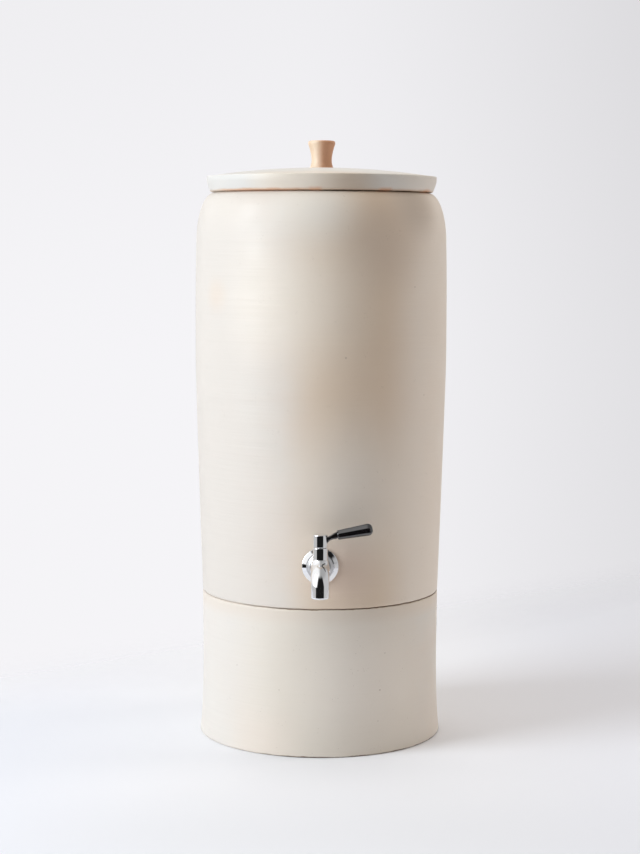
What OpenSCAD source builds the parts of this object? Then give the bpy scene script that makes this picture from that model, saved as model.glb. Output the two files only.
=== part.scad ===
// Gravity water filter with tap.
// A glazed stoneware crock stands on a ring-shaped stand. A filter bowl hangs in
// its mouth under a domed lid, and a lever tap draws the clean water at the front.
// Frame: origin at the centre of the stand's foot, +Z up, tap towards -Y.
// All lengths are in millimetres.

/* [Stand] */
// Height of the stand
stand_h = 148.5; // [110:0.5:190]
// Radius of the stand where it meets the floor
stand_foot_r = 125.6; // [124:0.1:134]
// Radius of the stand at its waist
stand_waist_r = 122.4; // [119:0.1:123.5]
// Height of the waist above the floor
stand_waist_h = 95; // [60:1:105]
// Thickness of the stand's wall
stand_wall = 10; // [7:0.5:13]

/* [Crock] */
// Radius at the joint between crock and stand
seam_r = 122.8; // [119:0.1:125]
// Height of the crock from the joint to its rim
crock_h = 410.5; // [390:0.5:470]
// Largest radius of the crock
belly_r = 129.8; // [128.5:0.1:138]
// Height of the largest radius above the joint
belly_h = 240; // [190:1:300]
// Radius where the shoulder starts to turn in
shoulder_r = 128.8; // [125:0.1:129.5]
// Height of the turned-in shoulder
shoulder_h = 50; // [28:1:55]
// Outer radius of the flat land on the rim
rim_r = 110.8; // [109:0.1:114]
// Radius of the mouth above the ledge for the bowl
mouth_r = 106; // [103:0.1:107.5]
// Width of that ledge
ledge_w = 6; // [4:0.5:8]
// Height of the ledge's lip under the ledge
ledge_t = 9; // [7:0.5:14]
// Thickness of the crock's wall
crock_wall = 8; // [6:0.5:10]
// Thickness of the crock's floor
crock_floor = 10; // [7:0.5:14]
// Depth of the foot that drops into the stand
foot_depth = 5; // [3:0.5:10]
// Width of the foot ring
foot_w = 12; // [8:1:20]
// Height of the hollow inside the foot ring
foot_hollow = 4; // [2:0.5:8]
// Clearance between the foot and the stand's bore
foot_gap = 1; // [0.5:0.1:2]
// Rounding of the glazed edges at the joint
seam_round = 2.4; // [1:0.1:4]

/* [Lid] */
// Largest radius of the lid
lid_r = 118.2; // [115.5:0.1:122]
// Radius of the lid's lower edge
lid_base_r = 114.4; // [111.5:0.1:115]
// Height of the lid's edge
lid_edge_h = 16.5; // [12:0.5:20]
// Rise of the lid's dome from edge to middle
lid_rise = 9.5; // [6:0.5:16]
// Thickness of the lid's dome
lid_t = 11; // [8:0.5:13]
// Depth of the locating ring under the lid
lid_ring_h = 9; // [5:0.5:12]
// Width of the locating ring
lid_ring_w = 7; // [5:0.5:10]
// Clearance between the locating ring and the bowl
lid_ring_gap = 1.5; // [1:0.1:3]

/* [Knob] */
// Height of the knob
knob_h = 28; // [22:0.5:36]
// Radius of the knob's foot
knob_foot_r = 12.2; // [11:0.1:15]
// Radius of the knob's waist
knob_waist_r = 10.4; // [8:0.1:10.9]
// Height of the knob's waist
knob_waist_h = 8; // [5:0.5:11]
// Radius of the knob's head
knob_head_r = 13.9; // [12:0.1:17]
// Radius of the knob screw's shank
knob_screw_r = 2; // [1.5:0.1:3]
// Length of the knob screw inside the knob
knob_screw_in = 15; // [10:1:18]
// Radius of the knob screw's head
knob_screw_head_r = 4.5; // [3.5:0.1:6]
// Height of the knob screw's head
knob_screw_head_h = 3; // [2:0.1:4]
// Radius of the washer under the knob screw
knob_washer_r = 8; // [6.5:0.5:11]
// Thickness of that washer
knob_washer_t = 1.5; // [1:0.1:2.5]

/* [Filter bowl] */
// Depth of the bowl under the top of its flange
bowl_depth = 128; // [100:1:150]
// Thickness of the bowl's wall
bowl_wall = 4; // [3:0.5:6]
// Thickness of the bowl's floor
bowl_floor = 5; // [4:0.5:8]
// Taper of the bowl's radius from top to floor
bowl_taper = 4; // [1:0.5:8]
// Outer rounding between the bowl's wall and floor
bowl_round = 14; // [9:1:20]
// Thickness of the bowl's flange
flange_t = 4.5; // [3.5:0.5:7]
// Clearance between bowl and crock
bowl_gap = 1; // [0.5:0.1:1.5]
// Thickness of the silicone ring under the flange
bowl_seal_t = 1.5; // [1:0.1:3]
// Gap between the bowl's flange and the lid
flange_gap = 1; // [0.5:0.1:2]

/* [Ceramic dome] */
// Outer radius of the dome
dome_r = 43; // [35:0.5:50]
// Height of the dome's straight side
dome_side_h = 45; // [25:1:50]
// Wall of the dome
dome_wall = 7; // [5:0.5:10]
// Thickness of the dome's base
dome_base_t = 6; // [5:0.5:8]
// Thickness of the cup wall around the dome's foot
dome_cup_w = 2.4; // [1.6:0.1:3]
// Height of that cup wall
dome_cup_h = 5; // [3:0.5:8]
// Radius of the threaded stem
stem_r = 6; // [5:0.1:7]
// Radius of the water way through the stem
stem_bore_r = 3; // [2:0.1:3.8]
// Radius of the silicone washers on the stem
stem_washer_r = 19; // [14:0.5:24]
// Thickness of the washer above the bowl's floor
dome_gasket_t = 3; // [2:0.1:4]
// Thickness of the washer under the bowl's floor
stem_washer_t = 2; // [1:0.1:3]
// Width across the flats of the stem's nut
stem_nut_af = 26; // [22:0.5:32]
// Height of the stem's nut
stem_nut_h = 9; // [6:0.5:12]

/* [Cartridge] */
// Outer radius of the cartridge's tube
cartridge_r = 52; // [44:0.5:60]
// Wall of the cartridge's tube
cartridge_wall = 2.5; // [2:0.1:4]
// Radial thickness of the end caps' skirts
skirt_w = 3; // [2:0.1:4]
// Height of the end caps' skirts
skirt_h = 12; // [8:0.5:18]
// Thickness of the end caps' plates
plate_t = 4; // [3:0.5:6]
// Depth of the cap's socket for the stem
socket_depth = 12; // [9:0.5:16]
// Wall around that socket
socket_wall = 4; // [3:0.5:6]
// Thickness of the silicone ring above the cap
cartridge_seal_t = 2; // [1:0.1:3]
// Thickness of each felt pad
pad_t = 3; // [2:0.5:4]
// Height of the sand layer
sand_h = 30; // [15:1:36]
// Height of the zeolite layer
zeolite_h = 30; // [15:1:36]
// Height of the carbon layer
carbon_h = 36; // [15:1:42]
// Radius of the mineral balls
ball_r = 6.4; // [4.5:0.1:6.5]
// Space above the top layer
headroom = 8; // [5:0.5:12]
// Radius of the drip holes
drip_r = 1.5; // [1:0.1:2]

/* [Mineral basket] */
// Outer radius of the basket
basket_r = 42; // [36:0.5:50]
// Height of the basket's wall
basket_h = 32; // [26:0.5:40]
// Wall of the basket
basket_wall = 2; // [1.5:0.1:3]
// Height of the basket's feet
basket_foot_h = 3; // [2:0.5:5]
// Width of the basket's slots
slot_w = 3; // [2:0.1:4]
// Radius of the mineral stones
stone_r = 6.2; // [4.5:0.1:6.4]

/* [Tap] */
// Height of the tap's shank above the joint
tap_h = 44; // [36:0.5:70]
// Radius of the threaded shank
shank_r = 7.9; // [6.5:0.1:8.3]
// Length of the shank behind the inner washer
shank_tail = 16; // [12:0.5:24]
// Clearance between the shank and the hole in the wall
shank_gap = 0.6; // [0.3:0.1:1.2]
// Radius of the water way through the shank
inlet_r = 3.6; // [2.5:0.1:3.8]
// Radius of the silicone washers on the shank
tap_washer_r = 15; // [12:0.1:16.5]
// Thickness of the silicone washers on the shank
tap_washer_t = 2; // [1.5:0.1:3]
// Width across the flats of the shank's nut
tap_nut_af = 24; // [20:0.5:28]
// Thickness of the shank's nut
tap_nut_h = 7; // [5:0.5:10]
// Radius of the escutcheon
flange_disc_r = 18; // [17.5:0.1:20]
// Thickness of the escutcheon's edge
flange_disc_t = 1.2; // [1:0.1:2.2]
// Height of the escutcheon's sloped ring
flange_cone_h = 3.2; // [2.6:0.1:4]
// Radius of the escutcheon's raised middle
flange_dome_r = 13; // [11.5:0.1:15]
// Full thickness of the escutcheon
flange_disc_h = 5.5; // [4.5:0.1:8]
// Radius of the barrel and the spout
barrel_r = 8.9; // [8.6:0.1:10.5]
// Length of the barrel from escutcheon to valve
barrel_l = 17; // [12:0.5:26]
// Length of the barrel from valve to bend
barrel_lead = 3; // [2:0.5:8]
// Radius of the spout's bend along its middle
bend_r = 14; // [12:0.5:20]
// Straight length of the spout under the bend
spout_l = 10.5; // [6:0.5:16]
// Radius of the water way in the spout
spout_bore_r = 6; // [4.5:0.1:6.5]
// Radius of the valve's plug
plug_r = 5; // [4.5:0.1:5.2]
// Running clearance between plug and housing
plug_gap = 0.05; // [0.02:0.01:0.1]
// Radius of the plug's spindle
spindle_r = 3.5; // [3:0.1:3.8]
// Depth of the plug under the shank's axis
plug_below = 7.2; // [6.6:0.1:7.3]
// Height of the plug's shoulder above the shank's axis
plug_above = 7; // [6.5:0.1:8]
// Radius of an O-ring's section
o_ring_r = 0.8; // [0.6:0.05:0.9]
// Radius of the valve's housing
housing_r = 7.8; // [7.2:0.1:8.5]
// Height of the housing above the shank's axis
housing_h = 10.5; // [9.5:0.1:14]
// Radius of the bonnet
bonnet_r = 7.3; // [7:0.1:7.8]
// Height of the bonnet
bonnet_h = 12; // [8:0.5:16]
// Radius of the bonnet's threaded end
bonnet_end_r = 6; // [5.6:0.1:6.3]
// Gap between bonnet and cap
cap_gap = 0.5; // [0.3:0.1:1]
// Radius of the cap
cap_r = 7; // [6.5:0.1:8]
// Height of the cap
cap_h = 12.2; // [10:0.1:16]
// Thickness of the cap's top
cap_top_t = 2; // [1.5:0.1:3]

/* [Lever] */
// Height of the lever's stud above the cap's lower edge
stud_h = 7.4; // [6:0.1:8.5]
// Radius of the lever's stud
stud_r = 1.8; // [1.4:0.1:2.2]
// Width of the lever's neck
neck_w = 6; // [4.5:0.1:7]
// Distance from the tap's axis to the end of the neck's underside
neck_l = 15.2; // [13.5:0.1:19]
// Height of the neck above the stud, beside the cap
neck_up = 2.7; // [2:0.1:3.4]
// Depth of the neck below the stud, beside the cap
neck_down = 3.4; // [2.2:0.1:4]
// Radius of the hollow under the neck
scoop_r = 9; // [6:0.1:12]
// Distance from the tap's axis to the grip's inner end
grip_x = 16.6; // [15.8:0.1:17.4]
// Height of the grip's inner end above the stud
grip_z = 4.2; // [3:0.1:5]
// Length of the grip
grip_l = 34.6; // [25:0.5:50]
// Radius of the grip at its inner end
grip_r0 = 4.6; // [3.4:0.1:5]
// Radius of the grip at its outer end
grip_r1 = 5.9; // [4.5:0.1:7]
// Rise of the grip in degrees
grip_tilt = 10.5; // [6:0.5:16]
// Radius of the tenon that holds the grip
tenon_r = 1.8; // [1.3:0.1:2.2]
// Length of the tenon inside the grip
tenon_l = 12; // [8:0.5:18]

/* [Hidden] */
$fn = 128;

// General clearances
fit_gap = 0.05;      // between pieces that are screwed or pushed together
rest_gap = 0.3;      // between loose round pieces that lie side by side
past = 1;            // how far a cut runs past the face that it opens

// Colours
glaze = [0.84, 0.79, 0.73];
stand_glaze = [0.82, 0.78, 0.73];
lid_glaze = [0.80, 0.77, 0.73];
wood = [0.85, 0.68, 0.52];
chrome = [0.80, 0.81, 0.82];
black = [0.05, 0.05, 0.05];
silicone = [0.90, 0.90, 0.88];
white_plastic = [0.93, 0.93, 0.91];

// Heights, from the floor up
seam_z = stand_h;
rim_z = seam_z + crock_h;
foot_z = seam_z - foot_depth;
crock_floor_z = foot_z + foot_hollow + crock_floor;
shoulder_z = rim_z - shoulder_h;
ledge_z = rim_z - flange_gap - flange_t - bowl_seal_t;
flange_z = ledge_z + bowl_seal_t;
bowl_top_z = flange_z + flange_t;
bowl_under_z = bowl_top_z - bowl_depth;
bowl_floor_z = bowl_under_z + bowl_floor;
dome_base_z = bowl_floor_z + dome_gasket_t;
dome_z = dome_base_z + dome_base_t;
stem_nut_z = bowl_under_z - stem_washer_t - stem_nut_h;
cartridge_top_z = stem_nut_z - cartridge_seal_t;
tube_top_z = cartridge_top_z - plate_t;
lid_middle_h = lid_edge_h + lid_rise;

// Radii that follow from the crock and the stand
stand_bore_r = seam_r - stand_wall;
foot_r = stand_bore_r - foot_gap;
ledge_r = mouth_r - ledge_w;
bowl_r = ledge_r - bowl_gap;
bowl_in_r = bowl_r - bowl_wall;
lid_ring_r = bowl_in_r - lid_ring_gap;

// Flat lands in the middle of the lid: above for the knob, below for its washer
knob_land_h = lid_top(knob_foot_r);
knob_seat_r = knob_washer_r + 1;
knob_seat_h = lid_top(knob_seat_r) - lid_t;

// Inside of the cartridge
media_r = cartridge_r - cartridge_wall - rest_gap;
ball_pitch = 2 * ball_r + rest_gap;
ball_rings = floor((media_r - ball_r) / ball_pitch);
balls_h = 2 * ball_r;
socket_z = cartridge_top_z - socket_depth;
layers = [sand_h, zeolite_h, carbon_h, balls_h];
media_top_z = min(socket_z, tube_top_z) - headroom;
tube_l = tube_top_z - media_top_z + layers_h(len(layers)) + pad_t;
tube_z = tube_top_z - tube_l;
function layers_h(n) = n == 0 ? 0 : layers[n - 1] + pad_t + layers_h(n - 1);
function layer_z(i) = tube_z + pad_t + layers_h(i);

// Tap, as distances from the vessel's axis towards the front
tap_z = seam_z + tap_h;
tap_wall_r = crock_r(tap_h);
spot_r = tap_washer_r + 1;
spot_depth = tap_wall_r - sqrt(pow(tap_wall_r, 2) - pow(spot_r, 2)) + 0.2;
tap_face = tap_wall_r - spot_depth;
tap_back = tap_wall_r - crock_wall;
shank_start = tap_back - tap_washer_t - shank_tail;
flange_back = tap_face + tap_washer_t;
barrel_start = flange_back + flange_disc_h;
valve_d = barrel_start + barrel_l;
bend_d = valve_d + barrel_lead;
outlet_d = bend_d + bend_r;
outlet_z = tap_z - bend_r - spout_l;
plug_z = tap_z - plug_below;
shoulder_top_z = tap_z + plug_above;
housing_z = tap_z + housing_h;
bonnet_z = housing_z + bonnet_h;
cap_z = bonnet_z + cap_gap;
stud_z = cap_z + stud_h;
o_ring_edge = 0.5;   // land between an O-ring's groove and the plug's end
o_ring_low_z = plug_z + o_ring_edge + o_ring_r;
o_ring_high_z = shoulder_top_z - o_ring_edge - o_ring_r;
plug_bore_r = min(o_ring_high_z - tap_z, tap_z - o_ring_low_z) - o_ring_r - o_ring_edge;

// Points of an arc, from angle a0 to a1 in n steps
function arc(cx, cy, r, a0, a1, n = 8) =
    [for (i = [0 : n]) let (a = a0 + (a1 - a0) * i / n)
        [cx + r * cos(a), cy + r * sin(a)]];

// Radius of the stand's outside at height z
function stand_r(z) = z < stand_waist_h
    ? stand_waist_r + (stand_foot_r - stand_waist_r) * pow(1 - z / stand_waist_h, 3)
    : stand_waist_r + (seam_r - stand_waist_r) * (z - stand_waist_h) / (stand_h - stand_waist_h);

// Radius of the crock's outside at height h above the joint, up to the shoulder
function crock_r(h) = h < belly_h
    ? belly_r - (belly_r - seam_r) * pow((belly_h - h) / belly_h, 1.15)
    : belly_r - (belly_r - shoulder_r)
        * pow((h - belly_h) / (crock_h - shoulder_h - belly_h), 3);

// Height of the lid's top above its lower edge, at radius r
function lid_top(r) = lid_edge_h + lid_rise * (1 - pow(r / lid_r, 2));

// Turns a child so that its +Z points out of the front, at distance d and height z
module towards_front(d, z) {
    translate([0, -d, z]) rotate([90, 0, 0]) children();
}

// Puts a child on the tap's vertical axis
module on_valve(z) {
    translate([0, -valve_d, z]) children();
}

// Flat ring that lies on height z
module ring(outer_r, inner_r, h) {
    difference() {
        cylinder(r = outer_r, h = h);
        translate([0, 0, -past]) cylinder(r = inner_r, h = h + 2 * past);
    }
}

// Places of touching balls in rings of six around one in the middle
function ball_places(rings, pitch) = concat([[0, 0]],
    [for (k = [1 : 1 : rings]) for (side = [0 : 5]) for (j = [0 : k - 1])
        let (a = 60 * side, b = 60 * (side + 2))
        pitch * [k * cos(a) + j * cos(b), k * sin(a) + j * sin(b)]]);

module stand() {
    steps = 14;
    color(stand_glaze) rotate_extrude() polygon(concat(
        // up the outside
        arc(stand_foot_r - seam_round, seam_round, seam_round, -90, 0, 5),
        [for (i = [1 : steps - 1]) let (z = stand_waist_h * i / steps)
            if (z > seam_round + 1) [stand_r(z), z]],
        [[stand_waist_r, stand_waist_h]],
        arc(seam_r - seam_round, seam_z - seam_round, seam_round, 0, 90, 5),
        // down the inside, one wall further in
        [[stand_bore_r, seam_z]],
        [for (i = [steps : -1 : 0]) let (z = stand_waist_h * i / steps)
            [stand_r(z) - stand_wall, z]]));
}

module crock() {
    steps = 22;
    inner_round = 12;
    wall_top = crock_h - shoulder_h;
    inner_foot_r = seam_r - crock_wall;
    color(glaze) difference() {
        rotate_extrude() polygon(concat(
            // under the floor, out to the joint
            [[0, foot_z + foot_hollow], [foot_r - foot_w, foot_z + foot_hollow],
                [foot_r - foot_w, foot_z], [foot_r, foot_z], [foot_r, seam_z]],
            arc(seam_r - seam_round, seam_z + seam_round, seam_round, -90, 0, 5),
            // up the outside
            [for (i = [1 : steps]) let (h = wall_top * i / steps)
                if (h > seam_round + 1) [crock_r(h), seam_z + h]],
            [for (a = [10 : 10 : 90])
                [rim_r + (shoulder_r - rim_r) * cos(a), shoulder_z + shoulder_h * sin(a)]],
            // mouth and ledge
            [[mouth_r, rim_z], [mouth_r, ledge_z], [ledge_r, ledge_z],
                [ledge_r, ledge_z - ledge_t]],
            // down the inside
            [for (i = [steps : -1 : 1]) let (h = wall_top * i / steps)
                if (seam_z + h > crock_floor_z + inner_round + 1)
                    [crock_r(h) - crock_wall, seam_z + h]],
            arc(inner_foot_r - inner_round, crock_floor_z + inner_round,
                inner_round, 0, -90, 6),
            [[0, crock_floor_z]]));
        // hole for the shank, with a flat for the washer on each side of the wall
        towards_front(tap_back - crock_wall, tap_z)
            cylinder(r = shank_r + shank_gap, h = 3 * crock_wall);
        towards_front(tap_face, tap_z) cylinder(r = spot_r, h = crock_wall);
        towards_front(tap_back - crock_wall, tap_z) cylinder(r = spot_r, h = crock_wall);
    }
}

module lid() {
    steps = 16;
    edge_round = 2;
    // under the dome, its thickness is even inside the locating ring
    inner_r = lid_ring_r - lid_ring_w;
    color(lid_glaze) translate([0, 0, rim_z]) difference() {
        rotate_extrude() polygon(concat(
            [[0, knob_seat_h], [knob_seat_r, knob_seat_h]],
            [for (i = [1 : steps]) let (r = inner_r * i / steps)
                if (r > knob_seat_r) [r, lid_top(r) - lid_t]],
            [[inner_r, -lid_ring_h], [lid_ring_r - 1, -lid_ring_h],
                [lid_ring_r, 1 - lid_ring_h], [lid_ring_r, 0]],
            [[lid_base_r - edge_round, 0]],
            arc(lid_base_r, edge_round + 0.6, edge_round, -75, -15, 4),
            [[lid_base_r + 0.75 * (lid_r - lid_base_r), 0.5 * lid_edge_h]],
            [[lid_r, 0.75 * lid_edge_h]],
            arc(lid_r - edge_round, lid_edge_h - 0.5 * edge_round, edge_round, 0, 75, 5),
            [for (i = [steps - 1 : -1 : 1]) let (r = lid_r * i / steps)
                if (r > knob_foot_r + 1) [r, lid_top(r)]],
            [[knob_foot_r, knob_land_h], [0, knob_land_h]]));
        cylinder(r = knob_screw_r + 0.5, h = lid_middle_h + past);
    }
}

module lid_knob() {
    head_round = 2.6;
    waist_up = 16;
    steps = 8;
    color(wood) translate([0, 0, rim_z + knob_land_h]) difference() {
        rotate_extrude() polygon(concat(
            [[0, 0]],
            [for (i = [0 : steps]) let (t = i / steps)
                [knob_waist_r + (knob_foot_r - knob_waist_r) * pow(1 - t, 2), knob_waist_h * t]],
            [for (i = [1 : steps]) let (t = i / steps)
                [knob_waist_r + (knob_head_r - knob_waist_r) * pow(t, 1.7),
                    knob_waist_h + (knob_h - knob_waist_h - head_round - 1) * t]],
            arc(knob_head_r - head_round, knob_h - head_round - 0.6, head_round, 10, 80, 5),
            [[0, knob_h]]));
        translate([0, 0, -past])
            cylinder(r = knob_screw_r + fit_gap, h = knob_screw_in + 2 * past);
    }
}

module knob_screw() {
    under = rim_z + knob_seat_h - knob_washer_t;
    top = rim_z + knob_land_h + knob_screw_in;
    color(chrome) difference() {
        union() {
            translate([0, 0, under]) cylinder(r = knob_screw_r, h = top - under);
            translate([0, 0, under - knob_screw_head_h])
                cylinder(r1 = knob_screw_head_r - 0.6, r2 = knob_screw_head_r,
                    h = knob_screw_head_h);
        }
        for (a = [0, 90]) translate([0, 0, under - knob_screw_head_h]) rotate([0, 0, a])
            cube([1, knob_screw_head_r, knob_screw_head_h], center = true);
    }
}

module knob_washer() {
    color(silicone)
        translate([0, 0, rim_z + knob_seat_h - knob_washer_t])
            ring(knob_washer_r, knob_screw_r + fit_gap, knob_washer_t);
}

module filter_bowl() {
    low_r = bowl_r - bowl_taper;
    inner_round = bowl_round - bowl_wall;
    color(white_plastic) difference() {
        rotate_extrude() polygon(concat(
            [[0, bowl_under_z]],
            arc(low_r - bowl_round, bowl_under_z + bowl_round, bowl_round, -90, 0, 8),
            [[bowl_r, flange_z], [mouth_r - bowl_gap, flange_z],
                [mouth_r - bowl_gap, bowl_top_z - 1], [mouth_r - bowl_gap - 1, bowl_top_z],
                [bowl_in_r + 1, bowl_top_z], [bowl_in_r, bowl_top_z - 1]],
            arc(low_r - bowl_wall - inner_round, bowl_floor_z + inner_round,
                inner_round, 0, -90, 8),
            [[0, bowl_floor_z]]));
        translate([0, 0, bowl_under_z - past])
            cylinder(r = stem_r + 0.4, h = bowl_floor + 2 * past);
    }
}

module bowl_seal() {
    color(silicone) translate([0, 0, ledge_z])
        ring(mouth_r - bowl_gap, ledge_r + rest_gap, bowl_seal_t);
}

module dome_shell() {
    color([0.95, 0.94, 0.90]) translate([0, 0, dome_z]) rotate_extrude() polygon(concat(
        [[dome_r - dome_wall, 0], [dome_r, 0]],
        arc(0, dome_side_h, dome_r, 0, 90, 16),
        arc(0, dome_side_h, dome_r - dome_wall, 90, 0, 16)));
}

module dome_base() {
    stem_l = dome_base_z - socket_z - 1;
    cup_in = dome_r + fit_gap;
    color(white_plastic) difference() {
        union() {
            translate([0, 0, dome_base_z]) cylinder(r = cup_in + dome_cup_w, h = dome_base_t);
            translate([0, 0, dome_z]) ring(cup_in + dome_cup_w, cup_in, dome_cup_h);
            translate([0, 0, dome_base_z - stem_l]) cylinder(r = stem_r, h = stem_l + 1);
        }
        translate([0, 0, dome_base_z - stem_l - past])
            cylinder(r = stem_bore_r, h = stem_l + dome_base_t + 2 * past);
    }
}

module dome_gasket() {
    color(silicone) translate([0, 0, bowl_floor_z])
        ring(stem_washer_r, stem_r + fit_gap, dome_gasket_t);
}

module stem_washer() {
    color(silicone) translate([0, 0, bowl_under_z - stem_washer_t])
        ring(stem_washer_r, stem_r + fit_gap, stem_washer_t);
}

module stem_nut() {
    color(white_plastic) translate([0, 0, stem_nut_z]) difference() {
        cylinder(r = stem_nut_af / 2 / cos(30), h = stem_nut_h, $fn = 6);
        translate([0, 0, -past]) cylinder(r = stem_r + fit_gap, h = stem_nut_h + 2 * past);
    }
}

module cartridge_seal() {
    color(silicone) translate([0, 0, cartridge_top_z])
        ring(stem_r + socket_wall, stem_r + fit_gap, cartridge_seal_t);
}

module cartridge_cap() {
    ribs = 36;
    outer_r = cartridge_r + fit_gap + skirt_w;
    color([0.30, 0.52, 0.70]) difference() {
        union() {
            translate([0, 0, tube_top_z]) cylinder(r = outer_r, h = plate_t);
            translate([0, 0, tube_top_z - skirt_h])
                ring(outer_r, cartridge_r + fit_gap, skirt_h);
            translate([0, 0, socket_z])
                cylinder(r = stem_r + socket_wall, h = socket_depth);
        }
        translate([0, 0, socket_z - past])
            cylinder(r = stem_r + fit_gap, h = socket_depth + 2 * past);
        // finger grooves round the skirt
        for (i = [0 : ribs - 1]) rotate([0, 0, 360 * i / ribs])
            translate([outer_r + 0.8, 0, tube_top_z - skirt_h - past])
                cylinder(r = 1.8, h = skirt_h + plate_t + 2 * past, $fn = 24);
    }
}

module cartridge_tube() {
    color([0.80, 0.90, 0.95, 0.5]) translate([0, 0, tube_z])
        ring(cartridge_r, cartridge_r - cartridge_wall, tube_l);
}

module cartridge_base() {
    outer_r = cartridge_r + fit_gap + skirt_w;
    rows = 3;
    color([0.30, 0.52, 0.70]) difference() {
        union() {
            translate([0, 0, tube_z - plate_t]) cylinder(r = outer_r, h = plate_t);
            translate([0, 0, tube_z]) ring(outer_r, cartridge_r + fit_gap, skirt_h);
        }
        // drip holes in rings
        for (row = [1 : rows], i = [0 : 6 * row - 1]) rotate([0, 0, 60 * i / row])
            translate([row * media_r / (rows + 1), 0, tube_z - plate_t - past])
                cylinder(r = drip_r, h = plate_t + 2 * past, $fn = 24);
    }
}

module filter_pads() {
    color([0.92, 0.92, 0.90]) for (i = [0 : len(layers)])
        translate([0, 0, layer_z(i) - pad_t]) cylinder(r = media_r, h = pad_t);
}

module media_layer(i, tint) {
    color(tint) translate([0, 0, layer_z(i)]) cylinder(r = media_r, h = layers[i]);
}

module media_sand() media_layer(0, [0.88, 0.82, 0.68]);

module media_zeolite() media_layer(1, [0.66, 0.72, 0.66]);

module media_carbon() media_layer(2, [0.10, 0.10, 0.10]);

module media_balls() {
    color([0.72, 0.45, 0.32]) for (p = ball_places(ball_rings, ball_pitch))
        translate([p[0], p[1], layer_z(3) + ball_r]) sphere(r = ball_r, $fn = 32);
}

module mineral_basket() {
    slots = 20;
    feet = 4;
    base_z = crock_floor_z + basket_foot_h;
    color(white_plastic) difference() {
        union() {
            translate([0, 0, base_z]) cylinder(r = basket_r, h = basket_wall);
            translate([0, 0, base_z])
                ring(basket_r, basket_r - basket_wall, basket_wall + basket_h);
            for (i = [0 : feet - 1]) rotate([0, 0, 45 + 360 * i / feet])
                translate([basket_r - 6, 0, crock_floor_z])
                    cylinder(r = 4, h = basket_foot_h + 0.5);
        }
        for (i = [0 : slots - 1]) rotate([0, 0, 360 * i / slots])
            translate([basket_r - 2 * basket_wall, -slot_w / 2, base_z + basket_wall + 3])
                cube([3 * basket_wall, slot_w, basket_h - 8]);
    }
}

module mineral_stones() {
    base_z = crock_floor_z + basket_foot_h + basket_wall;
    pitch = 2 * stone_r + rest_gap;
    rings = floor((basket_r - basket_wall - rest_gap - stone_r) / pitch);
    color([0.62, 0.58, 0.52])
        for (layer = [0 : floor(basket_h / pitch) - 1], p = ball_places(rings, pitch))
            translate([p[0], p[1], base_z + stone_r + layer * pitch])
                sphere(r = stone_r, $fn = 32);
}

module tap_flange() {
    edge = 0.5;
    step = 0.3;          // groove between the sloped ring and the raised middle
    neck_r = barrel_r + 0.6;
    dome_z = flange_cone_h - step;
    color(chrome) towards_front(flange_back, tap_z) rotate_extrude() polygon(concat(
        [[shank_r + fit_gap, 0], [flange_disc_r, 0]],
        arc(flange_disc_r - edge, flange_disc_t - edge, edge, 0, 60, 3),
        [[flange_dome_r + 2 * step, flange_cone_h], [flange_dome_r + step, dome_z]],
        [for (a = [0 : 15 : 90])
            [neck_r + (flange_dome_r - neck_r) * cos(a),
                dome_z + (flange_disc_h - dome_z) * sin(a)]],
        [[shank_r + fit_gap, flange_disc_h]]));
}

// Barrel, bend and straight end of the spout, or the water way inside them
module spout(r, from, past_end = 0) {
    towards_front(from, tap_z) cylinder(r = r, h = bend_d - from);
    translate([0, -bend_d, tap_z - bend_r]) rotate([180, -90, 0])
        rotate_extrude(angle = 90) translate([bend_r, 0]) circle(r = r);
    translate([0, -outlet_d, outlet_z - past_end]) cylinder(r = r, h = spout_l + past_end);
}

module tap_body() {
    bore_r = plug_r + plug_gap;
    color(chrome) difference() {
        union() {
            towards_front(shank_start, tap_z)
                cylinder(r = shank_r, h = barrel_start + past - shank_start);
            spout(barrel_r, barrel_start);
            on_valve(tap_z) cylinder(r = housing_r, h = housing_h);
        }
        towards_front(shank_start - past, tap_z)
            cylinder(r = inlet_r, h = valve_d - shank_start + past);
        spout(spout_bore_r - 1.4, valve_d);
        translate([0, -outlet_d, outlet_z - past]) cylinder(r = spout_bore_r, h = spout_l / 2 + past);
        on_valve(plug_z - 0.2) cylinder(r = bore_r, h = housing_z - plug_z + past);
        on_valve(shoulder_top_z + 0.2)
            cylinder(r = bonnet_end_r + fit_gap, h = housing_z - shoulder_top_z + past);
    }
}

module tap_outer_washer() {
    color(silicone) towards_front(tap_face, tap_z)
        ring(tap_washer_r, shank_r + fit_gap, tap_washer_t);
}

module tap_inner_washer() {
    color(silicone) towards_front(tap_back - tap_washer_t, tap_z)
        ring(tap_washer_r, shank_r + fit_gap, tap_washer_t);
}

module tap_nut() {
    color(chrome) towards_front(tap_back - tap_washer_t - tap_nut_h, tap_z) difference() {
        cylinder(r = tap_nut_af / 2 / cos(30), h = tap_nut_h, $fn = 6);
        translate([0, 0, -past]) cylinder(r = shank_r + fit_gap, h = tap_nut_h + 2 * past);
    }
}

module tap_bonnet() {
    edge = 0.6;
    end_z = shoulder_top_z + 0.4;
    color(chrome) on_valve(0) rotate_extrude() polygon(concat(
        [[spindle_r + plug_gap, end_z], [bonnet_end_r, end_z], [bonnet_end_r, housing_z]],
        arc(bonnet_r - edge, housing_z + edge, edge, -90, 0, 3),
        arc(bonnet_r - edge, bonnet_z - edge, edge, 0, 90, 3),
        [[spindle_r + plug_gap, bonnet_z]]));
}

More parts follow.
